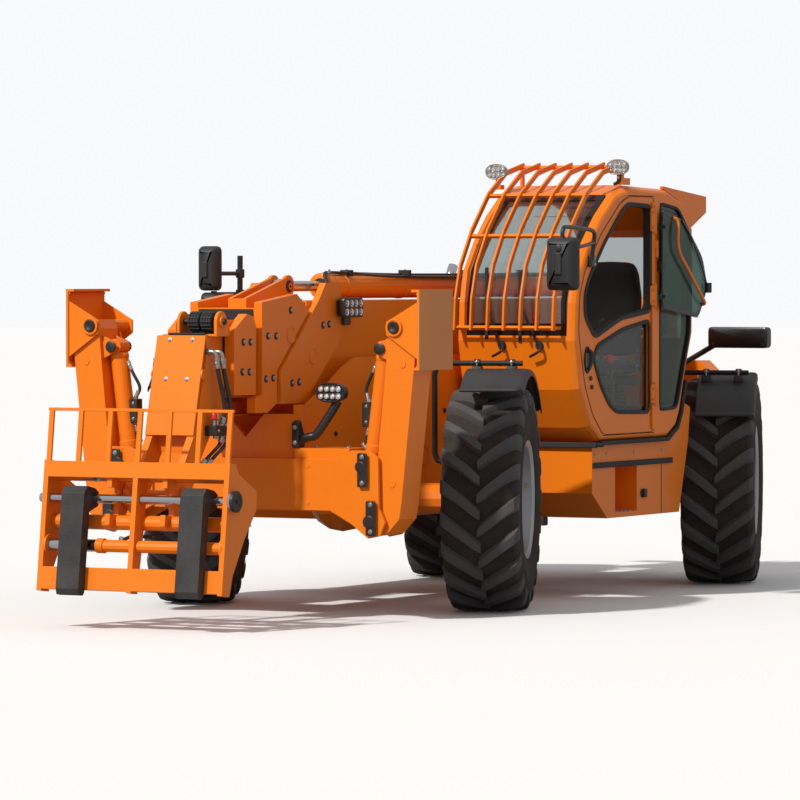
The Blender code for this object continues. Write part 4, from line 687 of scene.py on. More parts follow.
def boom_fittings():
    """Wear-pad bolts and mouth strips on each section, and the extension ram's collars and lines."""
    halves, lows, tops = SECTION_HALVES, SECTION_LOWS, SECTION_TOPS
    # body, mouth, outer face, bolts and boss of each collar
    sets = (("boom", -2.35, 0.238, ((-2.582, 1.287), (-2.503, 1.291), (-2.23, 1.601), (-2.161, 1.606)),
        (-2.345, 1.432)), ("section_2", -2.89, 0.2255,
        ((-2.827, 1.547), (-2.738, 1.546), (-2.85, 1.314), (-2.772, 1.318), (-2.575, 1.685)),
        (-2.571, 1.55)), ("section_3", -3.167, 0.207, ((-3.065, 1.517), (-2.989, 1.516), (-3.077, 1.355),
        (-3.0, 1.354)), None))
    for level, (body, front, x, bolts, boss) in enumerate(sets):
        work = Work()
        for side in (1, -1):
            collar_bolts(work, bolts, x, side)
            if boss:
                collar_boss(work, *boss, x, side)
        wall = 0.01 if level == 0 else 0.008
        outer = rectangle((-halves[level] + wall + 0.0005, lows[level] + wall + 0.0005),
            (halves[level] - wall - 0.0005, tops[level] - wall - 0.0005))
        inner = rectangle((-halves[level + 1] - 0.004, lows[level + 1] - 0.004),
            (halves[level + 1] + 0.004, tops[level + 1] + 0.004))
        mouth_frame(work, front, rounded(outer, 0.01, 2), rounded(inner, 0.01, 2))
        work.done(body + "_mouth_fittings", body)

    work = Work()
    work.lathe((0, -1.835, EXTENSION_Z), (0, 1, 0),
        [(0, 0.036), (0, 0.062), (0.008, 0.074), (0.05, 0.0775), (0.056, 0.0775), (0.06, 0.072),
        (0.1, 0.0705)], "orange_enamel", 40)
    work.lathe((0, -1.842, EXTENSION_Z), (0, 1, 0), [(0, 0.033), (0, 0.044), (0.01, 0.046)], "seal_rubber",
        32)
    for x, start in ((0.028, -1.79), (0.062, -1.7)):
        work.tube([(x, start, EXTENSION_Z + 0.078), (x, -1.0, 1.889 - abs(x) * 0.35),
            (x, 0.2, 1.889 - abs(x) * 0.35), (x, 1.55, EXTENSION_Z + 0.07)], 0.009, "black_enamel", 10, 4)
    for y in (-1.6, -0.9, -0.15, 0.6, 1.3):
        work.block((0.008, y - 0.015, 1.87), (0.08, y + 0.015, 1.906), "seal_rubber", 0.004)
        work.bolt((0.044, y, 1.905), (0, 0, 1), 0.006)
        work.lathe((0, y - 0.018, EXTENSION_Z), (0, 1, 0),
            [(0, 0.0715), (0.002, 0.0735), (0.034, 0.0735), (0.036, 0.0715)], "orange_enamel", 36)
    work.hose([(0.028, -1.79, 1.893), (0.045, -1.86, 1.88), (0.085, -1.9, 1.82), (0.1, -1.88, 1.75)], 0.011)
    work.lathe((0, 2.0, 1.575), (1, 0, 0), [(0.305, 0.075), (0.322, 0.075), (0.328, 0.068), (0.33, 0.0)],
        "dark_bolt", 36)
    work.lathe((0, 2.0, 1.575), (-1, 0, 0), [(0.305, 0.075), (0.322, 0.075), (0.328, 0.068), (0.33, 0.0)],
        "dark_bolt", 36)
    for side in (1, -1):
        for k in range(3):
            a = 2 * math.pi * k / 3 + 0.5
            work.bolt((side * 0.329, 2.0 + 0.04 * math.cos(a), 1.575 + 0.04 * math.sin(a)), (side, 0, 0),
                0.011)
    work.block((-0.14, 2.15, 1.26), (0.14, 2.162, 1.66), "orange_enamel", 0.01)
    for x in (-0.11, 0.11):
        for z in (1.3, 1.62):
            work.bolt((x, 2.162, z), (0, 1, 0), 0.01)
    work.done("extension_ram_fittings", "boom")

    work = Work()
    for side in (1, -1):
        work.lathe((side * 0.056, -2.29, EXTENSION_Z), (side, 0, 0),
            [(0, 0.034), (0.006, 0.034), (0.009, 0.028), (0.009, 0.01), (0.012, 0.008)], "dark_bolt", 28)
    work.hose([(0.045, -2.44, 1.755), (0.055, -2.37, 1.745), (0.05, -2.28, 1.735), (0.05, -2.16, 1.733)],
        0.009)
    work.done("extension_bracket_fittings", "section_2")


def boom_head_fittings():
    """Cover screws, the hose roller, the two hoses and the valve block on the boom's head."""
    work = Work()
    lean = Vector((0, -0.97, 0.243))
    for x, t in ((-0.07, 0.955), (0.07, 0.955), (-0.065, 0.56), (0.065, 0.56)):
        work.bolt((x, -3.495 + 0.133 * t - 0.012, 1.02 + 0.532 * t + 0.003), lean, 0.01)
    axis_y, axis_z = -3.27, 1.628
    for low, high in ((0.004, 0.072), (0.082, 0.15)):
        profile = [(low - 0.004, 0.03), (low, 0.048)]
        for k in range(4):
            a = low + (high - low) * (k + 0.15) / 4
            b = low + (high - low) * (k + 0.85) / 4
            profile += [(a, 0.048), (a + 0.002, 0.052), (b - 0.002, 0.052), (b, 0.048)]
        profile += [(high, 0.048), (high + 0.004, 0.03)]
        work.lathe((0, axis_y, axis_z), (1, 0, 0), profile, "seal_rubber", 32)
        for k in range(16):
            a = 2 * math.pi * k / 16
            y, z = axis_y + 0.052 * math.cos(a), axis_z + 0.052 * math.sin(a)
            work.rod((low + 0.002, y, z), (high - 0.002, y, z), 0.0035, "black_enamel", 6)
    work.rod((-0.075, axis_y, axis_z), (0.215, axis_y, axis_z), 0.017, "dark_bolt", 20)
    for low, high in ((-0.058, -0.04), (0.172, 0.192)):
        ear = [(axis_y - 0.055, 1.558), (axis_y - 0.056, axis_z),
            *[(axis_y + 0.056 * math.cos(a), axis_z + 0.056 * math.sin(a))
            for a in (math.pi * (1 - k / 10) for k in range(1, 10))], (axis_y + 0.056, axis_z),
            (axis_y + 0.085, 1.558)]
        work.plate("X", ear, low, high, "orange_enamel", 0.003)
    for x in (-0.058, 0.192):
        way = math.copysign(1, x)
        work.lathe((x, axis_y, axis_z), (way, 0, 0), [(-0.001, 0.034), (0.01, 0.033), (0.012, 0.028),
            (0.012, 0.0)], "orange_enamel", 28)
        work.bolt((x + way * 0.011, axis_y, axis_z), (way, 0, 0), 0.014, "dark_bolt")
    work.block((0.128, axis_y - 0.055, 1.548), (0.192, axis_y + 0.085, 1.562), "orange_enamel", 0.004)
    work.block((-0.1, -3.345, 1.556), (0.13, -3.2, 1.568), "seal_rubber", 0.004)
    for shift in (0.0, 0.034):
        x = 0.176 + shift * 0.5
        work.lathe((0.14, -3.345 + shift, 1.468), (1, 0, 0),
            [(0, 0.018), (0.016, 0.018), (0.018, 0.012), (0.03, 0.012)], "zinc", 6)
        work.tube([(0.16, -3.345 + shift, 1.468), (x + 0.004, -3.343 + shift, 1.466),
            (x + 0.018, -3.338 + shift, 1.45), (x + 0.02, -3.335 + shift, 1.42)], 0.011, "zinc", 12)
        work.hose([(x + 0.02, -3.335 + shift, 1.42), (x + 0.024, -3.32 + shift, 1.34),
            (x + 0.036, -3.29 + shift, 1.22), (x + 0.038, -3.28 + shift, 1.14),
            (x + 0.024, -3.29 + shift, 1.075)], 0.012)
        work.hose([(x + 0.024, -3.29 + shift, 1.02), (x + 0.022, -3.31 + shift, 0.97),
            (x - 0.006, -3.37 + shift, 0.91), (x - 0.03, -3.42 + shift, 0.86)], 0.01)
    work.hose([(-0.155, -3.34, 1.44), (-0.185, -3.33, 1.42), (-0.195, -3.33, 1.3), (-0.185, -3.36, 1.1),
        (-0.16, -3.4, 0.98)], 0.012)
    work.hose([(-0.155, -3.3, 1.44), (-0.192, -3.29, 1.4), (-0.205, -3.29, 1.24), (-0.19, -3.33, 1.06),
        (-0.16, -3.38, 0.96)], 0.012)
    work.block((0.15, -3.385, 1.018), (0.222, -3.235, 1.072), "dark_bolt", 0.006)
    for y, z, top in ((-3.365, 1.072, "red_plastic"), (-3.335, 1.072, "brass")):
        work.rod((0.198, y, z), (0.198, y, z + 0.035), 0.009, "zinc", 12)
        work.lathe((0.198, y, z + 0.03), (0, 0, 1), [(0, 0.011), (0.004, 0.016), (0.032, 0.016),
            (0.038, 0.012)], top, 18)
    for y in (-3.36, -3.26):
        work.bolt((0.222, y, 1.045), (1, 0, 0), 0.008)
        work.lathe((0.2, y, 1.018), (0, 0, -1), [(0, 0.012), (0.014, 0.012), (0.016, 0.009)], "zinc", 6)
    for side in (1, -1):
        work.lathe((side * 0.1495, -3.4, 1.345), (side, 0, 0),
            [(-0.001, 0.03), (0.008, 0.029), (0.01, 0.022), (0.004, 0.018)], "orange_enamel", 28)
    work.done("boom_head_fittings", "head")


# ---------------------------------------------------------------- fork carriage
def carriage_fittings():
    """Bosses, the fork-shift cylinder and the shaft's end on the fork carriage."""
    place = Matrix.Translation(TILT_PIN) @ Matrix.Rotation(CARRIAGE_LEAN, 4, "X")
    work = Work()
    half, (y, z) = 0.57, SHAFT_AT
    work.lathe((half + 0.012, y, z), (1, 0, 0), [(0, 0.05), (0.004, 0.057), (0.02, 0.057), (0.026, 0.05),
        (0.026, 0.034), (0.022, 0.031), (0.022, 0.0)], "dark_bolt", 40)
    work.bolt((half + 0.033, y, z), (1, 0, 0), 0.012, "dark_bolt")
    work.block((half, y + 0.04, z - 0.05), (half + 0.012, y + 0.075, z + 0.05), "dark_bolt", 0.005)
    face = -0.207
    for x0, x1, r, name in ((-0.555, -0.22, 0.0335, "hard_chrome"), (-0.235, -0.19, 0.04, "orange_enamel"),
        (0.3, 0.345, 0.04, "orange_enamel")):
        work.rod((x0, face + 0.05, -0.28), (x1, face + 0.05, -0.28), r, name, 28)
    for x in (-0.54, 0.54):
        ear = oval((face + 0.05, -0.28), 0.055, 0.06, 20)
        work.plate("X", ear, x - 0.01, x + 0.01, "orange_enamel", 0.002)
        work.lathe((x, face + 0.05, -0.28), (-math.copysign(1, x), 0, 0),
            [(0.01, 0.026), (0.018, 0.025), (0.018, 0.0)], "dark_bolt", 20)
    work.tube([(-0.1, face + 0.075, -0.245), (-0.06, face + 0.12, -0.22), (0.05, face + 0.14, -0.22),
        (0.1, -0.04, -0.2)], 0.01, "hose_rubber")
    work.lathe((-0.1, face + 0.06, -0.25), (0, 0.3, 1), [(0, 0.014), (0.02, 0.014), (0.022, 0.01)], "zinc",
        6)
    for side in (1, -1):
        work.lathe((side * 0.195, 0, 0), (side, 0, 0),
            [(-0.012, 0.058), (0.006, 0.058), (0.01, 0.052), (0.01, 0.04), (0.004, 0.038), (0.004, 0.0)],
            "orange_enamel", 36)
        work.lathe((side * 0.199, 0, 0), (side, 0, 0), [(-0.002, 0.032), (0.008, 0.031), (0.009, 0.0)],
            "dark_bolt", 28)
    work.lathe((-0.27, -0.1 - 0.028, 0.095), (0, -1, 0),
        [(-0.004, 0.022), (0.016, 0.022), (0.016, 0.03), (0.036, 0.03), (0.04, 0.026), (0.036, 0.02),
        (0.028, 0.018), (0.028, 0.0)], "zinc", 24)
    for x in (-0.555, 0.555):
        for zz in (-0.46, 0.12):
            work.bolt((x, face + 0.006, zz), (0, -1, 0), 0.0061, "orange_enamel")
    work.done("carriage_fittings", "carriage", place)


# ---------------------------------------------------------------- stabilisers
def stabiliser_fittings(name, side):
    """Pin locks, pin caps, the foot's pin and the ram's valve on one stabiliser."""
    def spot(point, y):
        return (side * point[0], y, point[1])

    work = Work()
    front = STABILISER_Y - 0.145
    for point, reach, low, high in ((RAM_FOOT, 0.036, -0.11, 0.075), (LEG_PIN, 0.04, -0.075, 0.115)):
        x, z = side * point[0] + 0.012 * side, point[1]
        outline = rounded(rectangle((x - 0.03, z + low), (x + 0.03, z + high)), 0.012, 3)
        work.plate("Y", outline, front - 0.012, front, "black_enamel", 0.003)
        for dz in (low + 0.022, high - 0.022):
            work.bolt((x, front - 0.012, z + dz), (0, -1, 0), 0.0105)
        work.lathe(spot(point, front + 0.004), (0, -1, 0),
            [(0, reach - 0.004), (0.013, reach - 0.004), (0.018, reach - 0.01), (0.018, 0.0)], "dark_bolt",
            26)
        work.lathe(spot(point, STABILISER_Y + 0.143), (0, 1, 0),
            [(0, reach), (0.01, reach), (0.014, reach - 0.006), (0.014, 0.0)], "dark_bolt", 26)
    work.done(name + "_pin_locks", "root")

    work = Work()
    for y, way in ((STABILISER_Y - 0.082, -1), (STABILISER_Y + 0.082, 1)):
        work.lathe(spot(RAM_TOP, y), (0, way, 0), [(-0.002, 0.032), (0.006, 0.032), (0.009, 0.026),
            (0.009, 0.0)], "dark_bolt", 24)
    leg_line = [(0.905, 1.5), (0.822, 0.65)]
    for t in (0.12, 0.88):
        x = leg_line[0][0] + (leg_line[1][0] - leg_line[0][0]) * t + 0.1
        z = leg_line[0][1] + (leg_line[1][1] - leg_line[0][1]) * t
        work.lathe((side * x, STABILISER_Y - 0.1, z), (0, -1, 0),
            [(-0.001, 0.022), (0.003, 0.021), (0.003, 0.0)], "orange_enamel", 22)
    work.done(name + "_leg_pins", name)

    work = Work()
    y0 = STABILISER_Y - 0.125
    work.lathe(spot(FOOT_PIN, y0 - 0.004), (0, -1, 0),
        [(-0.004, 0.034), (0.004, 0.034), (0.01, 0.03), (0.01, 0.018), (0.008, 0.015), (0.008, 0.0)],
        "dark_bolt", 30)
    work.lathe(spot(FOOT_PIN, y0 - 0.001), (0, -1, 0),
        [(-0.001, 0.05), (0.004, 0.049), (0.005, 0.04), (0.002, 0.036)], "orange_enamel", 32)
    for z in (1.385, 1.775):
        near, far = sorted((side * 1.088, side * 1.0965))
        work.block((near, y0 + 0.004, z - 0.005), (far, STABILISER_Y + 0.262, z + 0.005), "orange_enamel",
            0.002)
    work.done(name + "_foot_pin", name + "_foot")

    top, foot = Vector(spot(RAM_TOP, STABILISER_Y)), Vector(spot(RAM_FOOT, STABILISER_Y))
    way = (foot - top).normalized()
    mouth = (foot - top).length - 0.068
    work = Work()
    work.lathe(top, way, [(mouth - 0.05, 0.0505), (mouth - 0.046, 0.0545), (mouth - 0.006, 0.0545),
        (mouth, 0.05), (mouth + 0.002, 0.027), (mouth - 0.01, 0.0262)], "orange_enamel", 36)
    work.lathe(top, way, [(0.04, 0.0505), (0.044, 0.0525), (0.062, 0.0525), (0.066, 0.0505)],
        "orange_enamel", 36)
    out = Vector((-way.z, 0, way.x))
    if out.x * side > 0:
        out = -out
    valve = top + way * 0.36 + out * 0.066
    low, high = valve - Vector((0.026, 0.03, 0.075)), valve + Vector((0.026, 0.03, 0.06))
    work.block(tuple(low), tuple(high), "dark_bolt", 0.006)
    work.hose([valve + Vector((0, 0, 0.065)), valve + out * 0.02 + Vector((0, 0.01, 0.12)),
        top + way * 0.16 + out * 0.075, top + way * 0.1 + out * 0.052], 0.009)
    work.hose([valve - Vector((0, 0, 0.08)), valve - Vector((0, 0, 0.14)) + out * 0.012,
        top + way * 0.545 + out * 0.066, top + way * 0.56 + out * 0.052], 0.009)
    for dz in (-0.05, 0.035):
        work.bolt(valve + Vector((0, -0.03, dz)), (0, -1, 0), 0.007)
    work.done(name + "_ram_valve", name + "_ram_barrel")


# ---------------------------------------------------------------- cab
CAB_TAIL = [(0.46, 0.91), (0.59, 0.975), (0.644, 1.06), (0.708, 1.25)]
DOOR_UPPER = [(-0.09, 2.285), (0.205, 2.275), (0.205, 1.67), (-0.19, 1.63), (-0.53, 1.525), (-0.655, 1.64),
    (-0.66, 1.76), (-0.6, 1.86), (-0.4, 2.06), (-0.18, 2.24)]
DOOR_LOWER = [(0.195, 1.61), (-0.17, 1.56), (-0.5, 1.47), (-0.55, 1.4), (-0.45, 1.24), (-0.34, 1.13),
    (-0.24, 1.085), (0.195, 1.075)]
DOOR_EDGE = [(-0.08, 2.335), (0.264, 2.335), (0.264, 0.955), (-0.42, 0.955), (-0.56, 1.08), (-0.66, 1.25),
    (-0.74, 1.55), (-0.725, 1.76), (-0.66, 1.9), (-0.45, 2.11), (-0.2, 2.29)]
QUARTER = [(0.345, 2.3), (0.6, 2.27), (0.765, 2.12), (0.765, 1.54), (0.66, 1.28), (0.585, 1.09),
    (0.345, 1.08)]
FRONT_GLASS = [(-0.785, 1.53), (-0.785, 1.72), (-0.74, 1.9), (-0.6, 2.08), (-0.45, 2.22), (-0.28, 2.336)]
FOLDED_PANE = [(0.3, 2.26), (0.6, 2.2), (0.86, 1.98), (0.93, 1.8), (0.8, 1.62), (0.3, 1.68)]


def cab_fittings():
    """Quarter glass, windscreen surround, wipers, rubber edging, step fittings and lamps."""
    work = Work()
    quarter = rounded(QUARTER, 0.05)
    work.plate("X", inset(quarter, 0.001), CAB_OUT - 0.016, CAB_OUT - 0.01, "green_pane")
    work.band("X", inset(quarter, 0.001), inset(quarter, 0.03), CAB_OUT - 0.0098, CAB_OUT - 0.0075,
        "glazing_black")
    work.band("X", inset(quarter, -0.006), inset(quarter, 0.01), CAB_OUT - 0.008, CAB_OUT + 0.004,
        "seal_rubber")
    work.done("quarter_glass", "root")

    work = Work()
    for low, high in ((CAB_IN + 0.052, CAB_IN + 0.088), (CAB_OUT - 0.088, CAB_OUT - 0.052)):
        work.plate("X", strip(FRONT_GLASS, 0.003, 0.001), low, high, "glazing_black")
    foot, top = FRONT_GLASS[0], FRONT_GLASS[-1]
    for part in ([foot, (foot[0], 1.6)], [tuple(Vector(top).lerp(Vector(FRONT_GLASS[-2]), 0.28)), top]):
        work.plate("X", strip(part, 0.004, 0.001), CAB_IN + 0.052, CAB_OUT - 0.052, "glazing_black")
    for x0, x1, top in ((0.62, 0.525, 1.76), (0.86, 0.74, 1.74)):
        work.lathe((x0, -0.79, 1.475), (0, -1, 0), [(-0.006, 0.026), (0.01, 0.026), (0.02, 0.018),
            (0.026, 0.016)], "seal_rubber", 20)
        work.tube([(x0, -0.812, 1.475), (x0 - 0.02, -0.82, 1.52), (x1 + 0.02, -0.815, 1.68),
            (x1, -0.806, top - 0.02)], 0.008, "black_enamel", 8)
        work.block((x1 - 0.012, -0.806, top - 0.25), (x1 + 0.008, -0.793, top + 0.16), "seal_rubber", 0.004)
        work.tube([(x0 + 0.015, -0.81, 1.47), (x0 + 0.01, -0.83, 1.44), (x0 - 0.05, -0.82, 1.41)], 0.008,
            "black_enamel", 8)
    work.done("windscreen_surround_and_wipers", "root")

    work = Work()
    edging = [(-0.455, 0.9085), *CAB_TAIL]
    work.plate("X", strip(edging, -0.024, 0.012), 1.0515, CAB_OUT + 0.01, "seal_rubber", 0.003)
    work.block((0.345, -0.528, 0.884), (1.088, -0.502, 0.915), "seal_rubber", 0.005)
    work.tube([(1.082, -0.515, 0.9), (1.088, -0.49, 0.9), (1.0865, -0.44, 0.899)], 0.013, "seal_rubber", 10)
    work.block((1.0505, -0.497, 0.765), (1.064, 0.568, 0.797), "seal_rubber", 0.005)
    for y in (-0.46, -0.31, 0.06, 0.44):
        work.bolt((1.0502, y, 0.845), (1, 0, 0), 0.008)
    work.rod((1.05, 0.17, 0.6), (1.058, 0.17, 0.6), 0.026, "dark_bolt", 24)
    work.block((1.057, 0.165, 0.575), (1.068, 0.205, 0.625), "dark_bolt", 0.004)
    seam = [(0.43, 0.475), (0.436, 0.475), (0.436, 0.762), (0.43, 0.762)]
    work.plate("X", seam, 1.0495, 1.0515, "seal_rubber")
    for y in (-0.18, -0.12, -0.06, 0.0, 0.06):
        for x in (0.93, 0.975, 1.02):
            work.lathe((x, y, 0.5), (0, 0, 1), [(0, 0.014), (0.004, 0.011), (0.004, 0.006), (0.001, 0.005)],
                "zinc", 12)
    work.block((0.62, -0.42, 0.425), (0.7, -0.36, 0.475), "dark_bolt", 0.008)
    work.done("cab_edging_and_step_fittings", "root")

    work = Work()
    for x, y, z in ((0.33, -0.3, 2.478), (1.045, -0.155, 2.502)):
        shell = oval((x, z), 0.072, 0.046, 28, 0.85)
        work.levels("Y", [(y + 0.045, inset(shell, 0.03)), (y + 0.038, inset(shell, 0.014)),
            (y + 0.012, inset(shell, 0.002)), (y, shell), (y - 0.006, inset(shell, 0.003)),
            (y - 0.002, inset(shell, 0.008))], "zinc")
        work.levels("Y", [(y - 0.001, inset(shell, 0.008)), (y - 0.005, inset(shell, 0.012))], "clear_lens")
        work.diodes((x, y - 0.003, z), 4, 2, (0.03, 0.034), 0.0145)
        work.block((x - 0.008, y + 0.008, z - 0.085), (x + 0.008, y + 0.03, z - 0.04), "black_enamel",
            0.003)
        work.bolt((x, y + 0.008, z - 0.06), (0, -1, 0), 0.007)
    work.block((0.322, -0.3, 2.375), (0.365, -0.262, 2.402), "orange_enamel", 0.004)
    work.tube([(0.342, -0.28, 2.392), (0.336, -0.282, 2.41), (0.33, -0.282, 2.43)], 0.009, "black_enamel", 8)
    work.tube([(1.0, -0.1, 2.405), (1.03, -0.12, 2.415), (1.045, -0.135, 2.44)], 0.011, "black_enamel", 8)
    hook = [(-0.13, 2.4), (-0.13, 2.475), (-0.1, 2.475), (-0.1, 2.44), (-0.02, 2.44), (-0.02, 2.4)]
    work.plate("X", hook, 1.052, 1.062, "orange_enamel", 0.002)
    work.done("roof_lamps", "root")

    work = Work()
    for side in (1, -1):
        shell = rounded(rectangle((side * 0.855 - 0.2, 1.425), (side * 0.855 + 0.2, 1.555)), 0.028)
        work.levels("Y", [(1.943, inset(shell, 0.01)), (1.949, shell), (2.004, shell),
            (2.01, inset(shell, 0.006))], "black_enamel")
        for x in (-0.165, 0.165):
            for z in (1.447, 1.533):
                work.bolt((side * 0.855 + x, 1.944, z), (0, -1, 0), 0.01, "dark_bolt")
        for x, wide, lens in ((-0.115, 0.055, "red_lens"), (0.0, 0.05, "amber_lens"),
            (0.115, 0.055, "red_lens")):
            pane = rounded(rectangle((side * 0.855 + x - wide, 1.443), (side * 0.855 + x + wide, 1.537)),
                0.012)
            work.levels("Y", [(2.006, pane), (2.016, pane), (2.02, inset(pane, 0.006))], lens)
    work.done("rear_lamp_boxes", "root")


def cab_door_fittings():
    """Seals, hinges and handle of the door, and the pane folded back beside it."""
    work = Work()
    x = CAB_OUT
    upper, lower = rounded(DOOR_UPPER, 0.04), rounded(DOOR_LOWER, 0.045)
    work.band("X", inset(upper, -0.016), inset(upper, 0.006), x - 0.0005, x + 0.006, "seal_rubber")
    work.band("X", inset(upper, 0.001), inset(upper, 0.008), x - 0.038, x + 0.004, "seal_rubber")
    work.band("X", inset(lower, -0.012), inset(lower, 0.01), x - 0.0005, x + 0.006, "seal_rubber")
    work.band("X", inset(lower, 0.002), inset(lower, 0.034), x - 0.0176, x - 0.0155, "glazing_black")
    edge = rounded(DOOR_EDGE, 0.05)
    work.band("X", inset(edge, 0.001), inset(edge, 0.0045), x - 0.004, x + 0.0012, "seal_rubber")
    work.plate("X", rounded(rectangle((0.222, 0.975), (0.256, 2.3)), 0.006), x + 0.0005, x + 0.012,
        "orange_enamel", 0.003)
    for low, high in ((1.125, 1.235), (1.7, 1.815), (2.13, 2.27)):
        work.plate("X", rounded(rectangle((0.195, low), (0.252, high)), 0.012), x + 0.006, x + 0.02,
            "orange_enamel", 0.003)
        for z in (low + 0.025, high - 0.025):
            work.bolt((x + 0.02, 0.212, z), (1, 0, 0), 0.008, "orange_enamel")
        work.rod((x + 0.014, 0.246, low - 0.012), (x + 0.014, 0.246, high + 0.012), 0.0125, "orange_enamel",
            16)
    dish = oval((-0.628, 1.391), 0.04, 0.078, 30)
    work.levels("X", [(x - 0.001, dish), (x + 0.006, dish), (x + 0.009, inset(dish, 0.006)),
        (x + 0.002, inset(dish, 0.014)), (x + 0.001, inset(dish, 0.02))], "glazing_black")
    work.tube([(x + 0.002, -0.612, 1.445), (x + 0.024, -0.618, 1.43), (x + 0.026, -0.625, 1.38),
        (x + 0.01, -0.628, 1.335)], 0.011, "trim_plastic", 10)
    for y, z in ((-0.585, 1.285), (-0.57, 1.235)):
        work.rod((x, y, z), (x + 0.01, y, z), 0.013, "dark_bolt", 18)
    work.tube([(x - 0.05, -0.3, 1.62), (x - 0.075, -0.3, 1.58), (x - 0.075, -0.3, 1.35),
        (x - 0.05, -0.3, 1.3)], 0.012, "trim_plastic", 10)
    work.done("door_seals_and_hinges", "cab_door")

    work = Work()
    pane = rounded(FOLDED_PANE, 0.05)
    work.plate("X", inset(pane, 0.001), x + 0.0372, x + 0.0385, "green_pane")
    work.band("X", inset(pane, 0.001), inset(pane, 0.022), x + 0.0386, x + 0.0402, "glazing_black")
    bar = [(x + 0.04, 0.44, 2.215), (x + 0.062, 0.465, 2.185), (x + 0.064, 0.47, 2.03),
        (x + 0.064, 0.62, 1.895), (x + 0.064, 0.8, 1.745), (x + 0.06, 0.845, 1.71), (x + 0.04, 0.86, 1.7)]
    work.tube(bar, 0.0095, "orange_enamel", 10)
    work.tube([(x + 0.044, 0.56, 2.2), (x + 0.046, 0.68, 2.1), (x + 0.046, 0.83, 1.93),
        (x + 0.046, 0.925, 1.79)], 0.005, "black_enamel", 8)
    work.block((x + 0.036, 0.89, 1.77), (x + 0.062, 0.945, 1.83), "seal_rubber", 0.006)
    work.block((x + 0.0, 0.305, 1.9), (x + 0.04, 0.345, 1.96), "dark_bolt", 0.006)
    for z in (1.75, 2.16):
        work.bolt((x + 0.0385, 0.325, z), (1, 0, 0), 0.012, "dark_bolt")
    work.done("folded_pane_fittings", "root")


def mirror_shell(work, low, high, y_glass, y_back):
    """A moulded mirror housing between two corners, bulging away from its glass."""
    shell = rounded(rectangle(low, high), 0.035)
    deep = y_glass - y_back
    work.levels("Y", [(y_glass, shell), (y_glass - deep * 0.35, shell),
        (y_glass - deep * 0.62, inset(shell, 0.008)), (y_glass - deep * 0.85, inset(shell, 0.022)),
        (y_back, inset(shell, 0.042))], "moulded_plastic")
    work.levels("Y", [(y_glass + 0.0005, inset(shell, 0.012)), (y_glass + 0.003, inset(shell, 0.013))],
        "lamp_mirror")


def mirrors():
    """The cab's mirror on its two arms and the pair on the hood's post."""
    work = Work()
    work.tube([(1.092, -0.6, 1.955), (1.112, -0.61, 2.05), (1.13, -0.65, 2.125), (1.146, -0.85, 2.142),
        (1.15, -1.04, 2.148), (1.15, -1.085, 2.13), (1.15, -1.09, 2.06)], 0.0125, "black_enamel")
    work.tube([(1.118, -0.62, 2.062), (1.14, -0.82, 2.04), (1.15, -1.0, 2.03), (1.15, -1.06, 2.03)], 0.0105,
        "black_enamel")
    work.block((1.0805, -0.622, 1.922), (1.104, -0.558, 1.988), "black_enamel", 0.008)
    for z in (1.938, 1.972):
        work.bolt((1.104, -0.575, z), (1, 0, 0), 0.007)
    mirror_shell(work, (1.055, 1.79), (1.245, 2.09), -1.062, -1.142)
    work.block((1.128, -1.152, 1.875), (1.172, -1.125, 2.005), "moulded_plastic", 0.012)
    work.lathe((1.15, -1.138, 2.03), (0, -1, 0), [(0, 0.022), (0.01, 0.02), (0.014, 0.012)],
        "moulded_plastic", 20)
    work.done("cab_mirror", "root", stands_for="left_mirror")

    work = Work()
    post = [(-1.02, -0.79, 0.8), (-1.02, -0.79, 1.2), (-1.02, -0.79, 1.56), (-1.035, -0.805, 1.61),
        (-1.072, -0.838, 1.67), (-1.08, -0.845, 1.72), (-1.08, -0.845, 1.99)]
    work.tube(post, 0.0165, "black_enamel", 14)
    work.block((-1.05, -0.79, 0.82), (-0.99, -0.7605, 0.9), "black_enamel", 0.006)
    for z in (1.765, 1.885):
        work.tube([(-1.08, -0.845, z), (-1.098, -0.98, z), (-1.115, -1.115, z)], 0.0125, "black_enamel")
        work.lathe((-1.08, -0.845, z - 0.026), (0, 0, 1),
            [(0, 0.022), (0.004, 0.026), (0.048, 0.026), (0.052, 0.022)], "dark_bolt", 20)
        work.bolt((-1.08, -0.872, z), (0, -1, 0), 0.008, "dark_bolt")
        work.lathe((-1.113, -1.095, z - 0.018), (0, 0, 1), [(0, 0.018), (0.036, 0.018)], "dark_bolt", 16)
    mirror_shell(work, (-1.19, 1.785), (-1.05, 2.045), -1.112, -1.18)
    mirror_shell(work, (-1.18, 1.63), (-1.06, 1.775), -1.112, -1.165)
    work.block((-1.145, -1.19, 1.86), (-1.105, -1.168, 1.955), "moulded_plastic", 0.01)
    work.done("hood_mirrors", "root", stands_for="right_mirrors")


# ---------------------------------------------------------------- inside the cab
def cushion(work, rows):
    """A padded form lofted through rows of (centre, half width, half thickness, up)."""
    loops = []
    for centre, half_wide, half_thick, up in rows:
        centre, up = Vector(centre), Vector(up).normalized()
        loop = []
        for x, z in oval((0, 0), half_wide, half_thick, 32, 0.42):
            share = abs(x) / half_wide
            crown = 0.012 * (1 - share ** 2) if z > 0 else 0.0
            groove = 0.01 * math.exp(-((abs(x) - half_wide * 0.58) / 0.011) ** 2) if z > 0 else 0.0
            loop.append(centre + Vector((x, 0, 0)) + up * (z + crown - groove))
        loops.append(loop)
    work.loft(loops, "seat_cloth")


